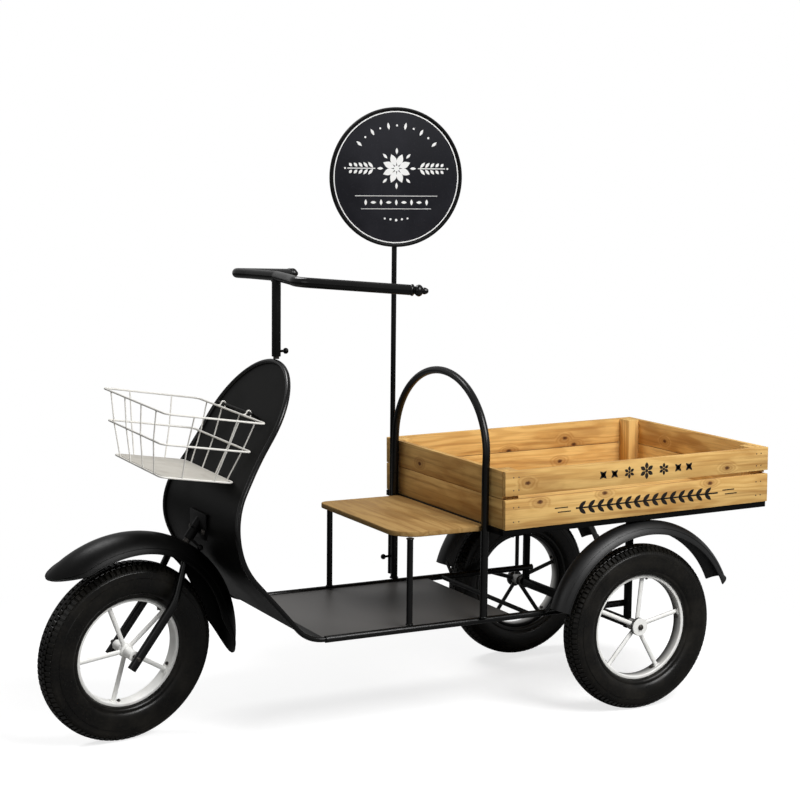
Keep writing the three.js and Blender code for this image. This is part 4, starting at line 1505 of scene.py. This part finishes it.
    def ornament(self) -> None:
        """Makes the thin stencilled leaves, buds and bars on the left side."""
        form = Form()
        for x, size in ((392, 1.0), (342, 0.74), (442, 0.74)):
            self.bud(form, x, 107.5, size)
        for x in (268, 300, 484, 516):
            for turn in (45, -45):
                self.leaf(form, x, 107.5, 13, 4.6, turn)
        for k in range(15):
            x = 210 + 26.0 * k
            for turn, shift in ((38, 7.6), (-38, -7.6)):
                self.leaf(form, x, 35 + shift, 12.5, 5.0, turn)
        self.strip(form, 192, 604, 35, 2.0)
        for middle in (156, 640):
            self.strip(form, middle - 22, middle + 14, 40, 1.3)
            self.strip(form, middle - 14, middle + 22, 30, 1.3)
        self.add(form, "crate_ornament", STENCIL, (), self.place)

    def _face(self, x: float, z: float, turn: float) -> Matrix:
        """A frame on the left side's face whose z axis points out."""
        stand = Matrix.Translation((x, 0.1 - self.half, z)) @ Matrix.Rotation(math.radians(90), 4, "X")
        return stand @ Matrix.Rotation(math.radians(turn), 4, "Z")

    def leaf(self, form: Form, x: float, z: float, reach: float, breadth: float, turn: float) -> None:
        """A pointed leaf, reach to each tip and breadth to each side.

        Args:
            form: The form that it is added to.
            x: Its place along the crate.
            z: Its height on the side.
            reach: Half its length.
            breadth: Half its width.
            turn: Its direction in degrees.
        """
        outline = pointed(reach, breadth, lambda share: 1 - share * share)
        form.slab(outline, 0, self.film, 0, self._face(x, z, turn))

    def bud(self, form: Form, x: float, z: float, size: float) -> None:
        """A plain flower of six petals round a dot.

        Args:
            form: The form that it is added to.
            x: Its place along the crate.
            z: Its height on the side.
            size: Its size beside the middle flower.
        """
        for degrees in range(30, 360, 60):
            out = Matrix.Rotation(math.radians(degrees), 2) @ Vector((12.0 * size, 0))
            self.leaf(form, x + out.x, z + out.y, 8.4 * size, 5.0 * size, degrees)
        form.slab(circle(4.0 * size, 16), 0, self.film, 0, self._face(x, z, 0))

    def strip(self, form: Form, x0: float, x1: float, z: float, half: float) -> None:
        """A straight bar between two places.

        Args:
            form: The form that it is added to.
            x0: Where it starts along the crate.
            x1: Where it ends.
            z: Its height on the side.
            half: Half its thickness.
        """
        middle = (x0 + x1) / 2
        reach = (x1 - x0) / 2
        corners = [(-reach, -half), (reach, -half), (reach, half), (-reach, half)]
        form.slab(corners, 0, self.film, 0, self._face(middle, z, 0))


@dataclass(kw_only=True)
class Sign(Assembly):
    """The round sign with its raised lip and painted ornament, on a pole in a socket."""

    body: str = "sign"
    pole: Vector = field(default_factory=lambda: Vector((799.3, 245.3, 1271)))
    pole_radius: float = 6.5
    radius: float = 173.0
    turn: float = math.radians(-9.3)
    film: tuple[float, float] = (5.9, 6.2)

    def __post_init__(self) -> None:
        """Works out the frame of the disc, whose z axis faces the viewer and y axis points up."""
        front = Vector((math.sin(self.turn), -math.cos(self.turn), 0))
        across = front.cross(UP) * -1
        back = self.pole + front * (self.pole_radius + 0.3)
        self.place = frame_of(across, UP, front, back)

    def build(self) -> None:
        """Makes the socket, the screw, the pole, the disc and its ornament."""
        x, y, _ = self.pole
        foot = Vector((x, y, 262))
        wall = [(0, 0), (8.1, 0), (8.8, 0.7), (8.8, 177.3), (8.2, 178), (6.9, 178), (6.9, 4.5), (0, 4.5)]
        socket = Form().turned(wall, foot, steps=32)
        self.add(socket, "pole_sleeve", SATIN_BLACK, ["pole_socket"], body="chassis")
        screw = thumb_screw(Vector((x - 6.9, y, 307)), Vector((-1, 0, 0)))
        self.add(screw, "pole_lock_screw", SATIN_BLACK, ["pole_screw"], body="pole_screw_body")
        rod = [(0, 0), (self.pole_radius, 0), (self.pole_radius, 1113.2), (5.7, 1114), (0, 1114)]
        self.add(Form().turned(rod, Vector((x, y, 267)), steps=32), "sign_post", GLOSS_BLACK, ["sign_pole"])
        r = self.radius
        lip = [(0, 0), (r - 2, 0), (r - 0.6, 0.6), (r, 2), (r, 7.6), (r - 0.6, 8.6), (r - 2, 9)]
        lip += [(r - 5.2, 9), (r - 6.8, 8.5), (r - 7.8, 7.2), (r - 8.5, 5.4), (0, 5.4)]
        disc = Form().turned(lip, steps=160)
        self.add(disc, "sign_plate", SATIN_BLACK, ["sign_disc"], self.place)
        panel = [(0, 5.2), (r - 8.4, 5.2), (r - 8.4, 5.8), (r - 9.0, 6.0), (0, 6.0)]
        face = Form().turned(panel, steps=160)
        self.add(face, "sign_face_panel", SLATE, (), self.place)
        self.ornament()

    def ornament(self) -> None:
        """Makes the painted ring, wreath, flower, rules and dots."""
        form = Form()
        low, high = self.film
        ring = [(160.8, low), (163.4, low), (163.4, high), (160.8, high)]
        form.turned(ring, steps=160, loop=True)
        for k in range(8):
            self.petal(form, 0, 22, 22, 45 * k + 22.5, 16, 8.0)
            self.petal(form, 0, 22, 43, 45 * k, 8, 3.2)
        self.dot(form, 0, 22, 7.2)
        for sign in (-1, 1):
            for k in range(5):
                for up in (-1, 1):
                    self.petal(form, sign * (68 + 13 * k), 22 + 8.5 * up, 0, sign * up * 48, 9.5 - k, 3.6)
            self.rule(form, sign * 92, 22, 36, 1.1)
            self.dot(form, sign * 134, 22, 2.4)
        for degrees in range(40, 141, 10):
            turn = math.radians(degrees)
            if degrees % 20:
                self.dot(form, 128 * math.cos(turn), 128 * math.sin(turn), 2.6)
            else:
                self.petal(form, 0, 0, 128, degrees, 9, 3.4)
        self.rule(form, 0, -46, 108, 0.7)
        for k in range(-4, 5):
            self.petal(form, 20.0 * k, -62, 0, 0 if k % 2 else 90, 7.5, 3.4)
        self.rule(form, 0, -78, 92, 0.6)
        for k in (-2, -1, 0, 1, 2):
            self.dot(form, 15.0 * k, 2.0 * abs(k) - 106, 3.2 - abs(k) * 0.4)
        self.add(form, "sign_ornament", PRINT_WHITE, (), self.place)

    def petal(
        self, form: Form, x: float, y: float, out: float, turn: float, reach: float, breadth: float
    ) -> None:
        """A pointed oval at a distance out from a centre.

        Args:
            form: The form that it is added to.
            x: The centre's place across the sign.
            y: The centre's height on the sign.
            out: The distance of the petal's middle from the centre.
            turn: Its direction in degrees.
            reach: Half its length.
            breadth: Half its width.
        """
        outline = pointed(reach, breadth, lambda share: math.cos(share * math.pi / 2))
        angle = math.radians(turn)
        middle = Vector((x + out * math.cos(angle), y + out * math.sin(angle), 0))
        form.slab(outline, *self.film, 0, Matrix.Translation(middle) @ Matrix.Rotation(angle, 4, "Z"))

    def dot(self, form: Form, x: float, y: float, radius: float) -> None:
        """A round dot."""
        form.slab(circle(radius, 20), *self.film, 0, Matrix.Translation((x, y, 0)))

    def rule(self, form: Form, x: float, y: float, reach: float, half: float) -> None:
        """A straight rule about a middle point."""
        corners = [
            (x - reach, y - half), (x + reach, y - half), (x + reach, y + half), (x - reach, y + half)
        ]
        form.slab(corners, *self.film)


@dataclass(kw_only=True)
class Handlebar(Assembly):
    """The swept handlebar with turned ends, its stem, the peg and the locking screw."""

    body: str = "handlebar_unit"
    stem_x: float = 369.0
    height: float = 1046.5
    radius: float = 11.5
    stem_base: float = 862.0
    knob_size: float = 0.975

    def path(self) -> list[Vector]:
        """The centre line from the left end to the right end."""
        half = [Vector((self.stem_x + 1, 0, self.height)), Vector((352, -118, self.height - 1)),
                Vector((338, -182, self.height - 2)), Vector((545, -324, self.height - 15))]
        right = [Vector((point.x, -point.y, point.z)) for point in half[1:]]
        return rounded(list(reversed(half)) + right, 42, 14)

    def build(self) -> None:
        """Makes the bar, the ends, the stem, the peg and the screw."""
        path = self.path()
        self.add(Form().sweep(spaced(path, 20), self.radius, 24), "swept_bar", GLOSS_BLACK, ["handlebar"])
        top = self.height - self.stem_base - 4
        wall = [(7.5, 0), (9.8, 0), (10.5, 0.7), (10.5, top), (7.5, top)]
        stem = Form().turned(wall, Vector((self.stem_x, 0, self.stem_base)), steps=32, loop=True)
        weld_ring(stem, Vector((self.stem_x, 0, self.height - 11.2)), UP, 10.6, 1.8)
        self.add(stem, "stem_tube", GLOSS_BLACK, ["handlebar_stem"])
        screw = thumb_screw(Vector((self.stem_x + 7.4, 0, 874)), AFT)
        self.add(screw, "stem_lock_screw", SATIN_BLACK, ["stem_screw"], body="stem_screw_body")
        peg = [(0, 0), (7, 0), (7, 92.6), (6, 93.6), (0, 93.6)]
        rod = Form().turned(peg, Vector((self.stem_x, 0, 856.4)), steps=24)
        self.add(rod, "stem_peg_rod", STEEL, ["stem_peg"], body="chassis")
        knob = [(0, 0), (11.8, 0), (12.8, 0.9), (13.4, 2.4), (13.4, 3.8), (12.6, 5.6), (10.4, 7.0)]
        knob += [
            (8.7, 8.6), (8.6, 9.6), (10.2, 11.0), (12.2, 13.6), (13.3, 16.4), (13.4, 19.0), (12.6, 21.8)
        ]
        knob += [(10.4, 24.6), (7.6, 26.6), (6.8, 27.8), (7.6, 29.2), (7.9, 30.6), (7.4, 33.0)]
        knob += [(6.0, 36.4), (3.6, 39.2), (0, 40)]
        for side, end, inner in ((Side.LEFT, path[0], path[1]), (Side.RIGHT, path[-1], path[-2])):
            out = (end - inner).normalized()
            form = Form().turned(
                [(r * self.knob_size, z * self.knob_size) for r, z in knob], end + out * 0.3, out, 32
            )
            self.add(form, f"{side.word}_turned_end", GLOSS_BLACK, [f"finial_{side.word}"])


@dataclass(kw_only=True)
class Basket(Assembly):
    """The wire basket with its sheet floor, hooked over a rod that stands off the shield."""

    body: str = "basket"
    shield: LegShield
    centre: Vector = field(default_factory=lambda: Vector((140, 0, 760)))
    tilt: tuple[float, float, float] = (0.038, 0.153, 0.04)
    levels: tuple = ((240.0, 380.0, 0.0), (216.0, 330.0, -69.0), (176.0, 284.0, -144.0))
    wire: float = 2.3
    thin_wire: float = 1.7
    corner: float = 16.0
    hooks: tuple[float, float] = (-64.0, 76.0)

    def __post_init__(self) -> None:
        """Works out the tilted frame of the basket."""
        self.place = Matrix.Translation(self.centre) @ Euler(self.tilt, "XYZ").to_matrix().to_4x4()

    def hoop(
        self, length: float, width: float, z: float, corner: float, inset: float = 0.0
    ) -> list[Vector]:
        """The rounded rectangle of a hoop.

        Args:
            length: Its length from front to back.
            width: Its width.
            z: Its height in the frame of the basket.
            corner: The radius of its corners.
            inset: How far it is drawn in.

        Returns:
            The points of the hoop.
        """
        x, y = length / 2 - inset, width / 2 - inset
        corners = [Vector((-x, -y, z)), Vector((x, -y, z)), Vector((x, y, z)), Vector((-x, y, z))]
        return rounded(corners, corner - inset, 10, loop=True)

    def spot(self, level: int, across_x: float, across_y: float) -> Vector:
        """A point on a level's rectangle by its shares of the half sides."""
        length, width, z = self.levels[level]
        return Vector((length / 2 * across_x, width / 2 * across_y, z))

    def build(self) -> None:
        """Makes the wires, the sheet floor and the hanger."""
        form = Form()
        for length, width, z in self.levels:
            hoop = self.hoop(length, width, z, self.corner)
            form.sweep(hoop, self.wire, 10, loop=True, up=UP)
        posts = [(sign, share) for share in (-0.72, -0.26, 0.26, 0.72) for sign in (-1, 1)]
        posts += [(share, sign) for share in (-0.44, 0.44) for sign in (-1, 1)]
        for across_x, across_y in posts:
            form.sweep([self.spot(level, across_x, across_y) for level in range(3)], self.thin_wire, 8)
        base = self.levels[2][2]
        for y in (-50, 50):
            form.sweep([Vector((-88, y, base - 1)), Vector((88, y, base - 1))], self.thin_wire, 8)
        for y in self.hooks:
            form.sweep(self.hook(y), self.thin_wire, 8)
        self.add(form, "basket_wires", BASKET_WHITE, ["basket_cage"], self.place)
        outline = [(point.x, point.y) for point in self.hoop(176, 284, 0, 26, 2.6)]
        sheet = Form().slab(outline, base + 1.2, base + 2.7, 0.3)
        self.add(sheet, "basket_sheet_floor", BASKET_SHEET, ["basket_floor"], self.place)
        self.hanger()

    def hook(self, y: float) -> list[Vector]:
        """The path of a hook, up behind the rod and down again.

        Args:
            y: Its place across the basket.

        Returns:
            The points of the path.
        """
        centre_x, centre_z, radius = 134.0, 6.0, 5.4
        path = [Vector((120, y, 0)), Vector((centre_x - radius - 2, y, 2))]
        for k in range(13):
            turn = math.pi - k * math.pi / 12
            path.append(Vector((centre_x + radius * math.cos(turn), y, centre_z + radius * math.sin(turn))))
        return path + [Vector((centre_x + radius, y, -4))]

    def hanger(self) -> None:
        """Makes the rod under the hooks and the pins that carry it."""
        ends = [self.place @ Vector((134, y, 6)) for y in (self.hooks[0] - 24, self.hooks[1] + 24)]
        form = Form().sweep(ends, 3, 16)
        low, high = self.shield.at(60), self.shield.at(200)
        down = (high - low).normalized()
        normal = Vector((down.z, 0, -down.x))
        for y in (self.hooks[0] - 16, self.hooks[1] + 16):
            start = self.place @ Vector((134, y, 6))
            gap = (low - start).dot(normal)
            end = start + normal * (abs(gap) - 1.3) * math.copysign(1, gap)
            form.sweep([start, end], 2.5, 12)
        self.add(form, "basket_rod", SATIN_BLACK, ["basket_hanger"], body="chassis")


# ---- studio ----
@dataclass(kw_only=True)
class Studio:
    """The floor, the soft lights, the white surroundings and the camera."""

    yaw: float = -0.4827
    pitch: float = 0.1276
    roll: float = 0.0100
    eye: Vector = field(default_factory=lambda: Vector((-1.2958, -3.7918, 1.2939)))
    focal: float = 1806.94
    ambient: float = 0.12
    mirrored: float = 0.42

    def camera(self) -> None:
        """Sets the camera at the photograph's angle."""
        sine, cosine = math.sin(self.pitch), math.cos(self.pitch)
        back = Vector((math.sin(self.yaw) * cosine, -math.cos(self.yaw) * cosine, sine))
        level = (-back).cross(UP).normalized()
        rise = level.cross(-back)
        right = level * math.cos(self.roll) + rise * math.sin(self.roll)
        up = rise * math.cos(self.roll) - level * math.sin(self.roll)
        camera = bpy.data.cameras.new("photo_camera")
        camera.sensor_width = 36
        camera.lens = self.focal / 800 * 36
        holder = bpy.data.objects.new("photo_camera", camera)
        holder.matrix_world = frame_of(right, up, back, self.eye + Vector((DATUM, 0, 0)))
        bpy.context.scene.collection.objects.link(holder)
        bpy.context.scene.camera = holder

    def lamp(
        self, name: str, place: Sequence[float], target: Sequence[float], size: float, power: float
    ) -> None:
        """Adds a square soft light.

        Args:
            name: Its name.
            place: Where it stands.
            target: What it points at.
            size: The length of its side.
            power: Its power in watts.
        """
        light = bpy.data.lights.new(name, "AREA")
        light.size = size
        light.energy = power
        holder = bpy.data.objects.new(name, light)
        away = Vector(place) - Vector(target)
        holder.matrix_world = Matrix.Translation(place) @ away.to_track_quat("Z", "Y").to_matrix().to_4x4()
        bpy.context.scene.collection.objects.link(holder)

    def surroundings(self) -> None:
        """Makes the world white to the eye and in reflections, and softer as a light."""
        world = bpy.data.worlds.new("white_studio")
        bpy.context.scene.world = world
        world.use_nodes = True
        nodes, links = world.node_tree.nodes, world.node_tree.links
        background = nodes["Background"]
        background.inputs["Color"].default_value = (1, 1, 1, 1)
        rays = nodes.new("ShaderNodeLightPath")
        strength = None
        shares = (("Is Glossy Ray", self.mirrored - self.ambient), ("Is Camera Ray", 1 - self.ambient))
        for name, share in shares:
            step = nodes.new("ShaderNodeMath")
            step.operation = "MULTIPLY_ADD"
            links.new(rays.outputs[name], step.inputs[0])
            step.inputs[1].default_value = share
            step.inputs[2].default_value = self.ambient
            if strength:
                links.new(strength, step.inputs[2])
            strength = step.outputs[0]
        links.new(strength, background.inputs["Strength"])

    def floor(self) -> None:
        """Makes the white floor, which keeps a soft shadow."""
        bm = bmesh.new()
        bmesh.ops.create_grid(bm, x_segments=1, y_segments=1, size=14)
        mesh = bpy.data.meshes.new("studio_floor")
        bm.to_mesh(mesh)
        bm.free()
        floor = bpy.data.objects.new("studio_floor", mesh)
        bpy.context.scene.collection.objects.link(floor)
        material = bpy.data.materials.new("studio_white")
        material.use_nodes = True
        nodes, links = material.node_tree.nodes, material.node_tree.links
        nodes.remove(nodes["Principled BSDF"])
        kinds = (
            "BsdfDiffuse", "BsdfDiffuse", "Emission", "Emission", "AddShader", "MixShader", "MixShader"
        )
        shade, dim, glow, white, bright, fade, seen = (nodes.new(f"ShaderNode{kind}") for kind in kinds)
        shade.inputs["Color"].default_value = (0.45, 0.45, 0.45, 1)
        dim.inputs["Color"].default_value = (0.25, 0.25, 0.25, 1)
        glow.inputs["Strength"].default_value = 0.74
        kinds = ("TexCoord", "VectorMath", "MapRange", "LightPath")
        spot, away, ramp, rays = (nodes.new(f"ShaderNode{kind}") for kind in kinds)
        away.operation = "LENGTH"
        ramp.interpolation_type = "SMOOTHSTEP"
        ramp.inputs["From Min"].default_value = 0.95
        ramp.inputs["From Max"].default_value = 1.55
        for source, target in (
            (spot.outputs["Object"], away.inputs[0]),
            (away.outputs["Value"], ramp.inputs["Value"]),
            (shade.outputs[0], bright.inputs[0]),
            (glow.outputs[0], bright.inputs[1]),
            (ramp.outputs[0], fade.inputs[0]),
            (bright.outputs[0], fade.inputs[1]),
            (white.outputs[0], fade.inputs[2]),
            (rays.outputs["Is Camera Ray"], seen.inputs[0]),
            (dim.outputs[0], seen.inputs[1]),
            (fade.outputs[0], seen.inputs[2]),
            (seen.outputs[0], nodes["Material Output"].inputs["Surface"]),
        ):
            links.new(source, target)
        mesh.materials.append(material)

    def build(self) -> None:
        """Sets up the view, the lights and the floor."""
        bpy.context.scene.view_settings.view_transform = "Standard"
        self.camera()
        self.surroundings()
        self.floor()
        self.lamp("key_softbox", (0.9, -3.1, 3.4), (0.1, 0, 0.4), 2.2, 205)
        self.lamp("left_softbox", (-3.4, -1.6, 2.0), (0, 0, 0.5), 1.6, 9)
        self.lamp("back_softbox", (-0.6, 1.7, 3.5), (0.3, 0, 0.4), 1.2, 58)


def main() -> None:
    """Builds the studio and every assembly in order."""
    logging.basicConfig(level=logging.INFO, format="%(message)s")
    Studio().build()
    slid = Matrix.Translation(CROWN - STEERING * FORK_DROP)
    fork_place = slid @ Matrix.Rotation(STEER_TURN, 4, STEERING) @ Matrix.Translation(-CROWN)
    front_place = fork_place @ Matrix.Translation((3, 0, 210.5))
    name = "front_wheel"
    Wheel(prefix=name, body=name, place=front_place, radius=210.5, first_spoke=113, hub=Hub.FRONT).build()
    for side, first in ((Side.LEFT, 96), (Side.RIGHT, 90)):
        prefix = f"rear_{side.word}_wheel"
        place = Matrix.Translation((REAR_AXLE_X, side.value * 279, 201.5))
        if side is Side.LEFT:
            place @= Matrix.Rotation(math.pi, 4, "Z")
        # Each rear wheel's inner faces are painted black as painted shade.
        enamel = replace(CREAM, name=f"cream_enamel_{side.word}", bare=-side.value)
        Wheel(
            prefix=prefix,
            body=prefix,
            place=place,
            radius=201.5,
            first_spoke=first,
            hub=Hub.REAR,
            enamel=enamel,
        ).build()
    FrontFork(place=fork_place).build()
    Mudguard(
        name="front_fender",
        body="fork",
        place=fork_place,
        centre=Vector((3, 0, 206)),
        crown=282.0,
        dome=(51.0, 88.0),
        dome_width=62.0,
        edge=58.0,
        start=134.5,
        end=-9.0,
        tapers=(17.0, 28.0),
    ).build()
    shield = LegShield()
    shield.build()
    Chassis().build()
    Seat().build()
    for side in Side:
        RearGuard(
            name=f"rear_fender_{side.word}",
            side=side,
            centre=Vector((1209, side.value * 280, 195)),
            crown=265.0,
            dome=(44.0, 44.0),
            dome_width=35.5,
            edge=33.0,
            start=23.5,
            end=164.0,
        ).build()
    Crate().build()
    Sign().build()
    Handlebar().build()
    Basket(shield=shield).build()


if __name__ == "__main__":
    main()
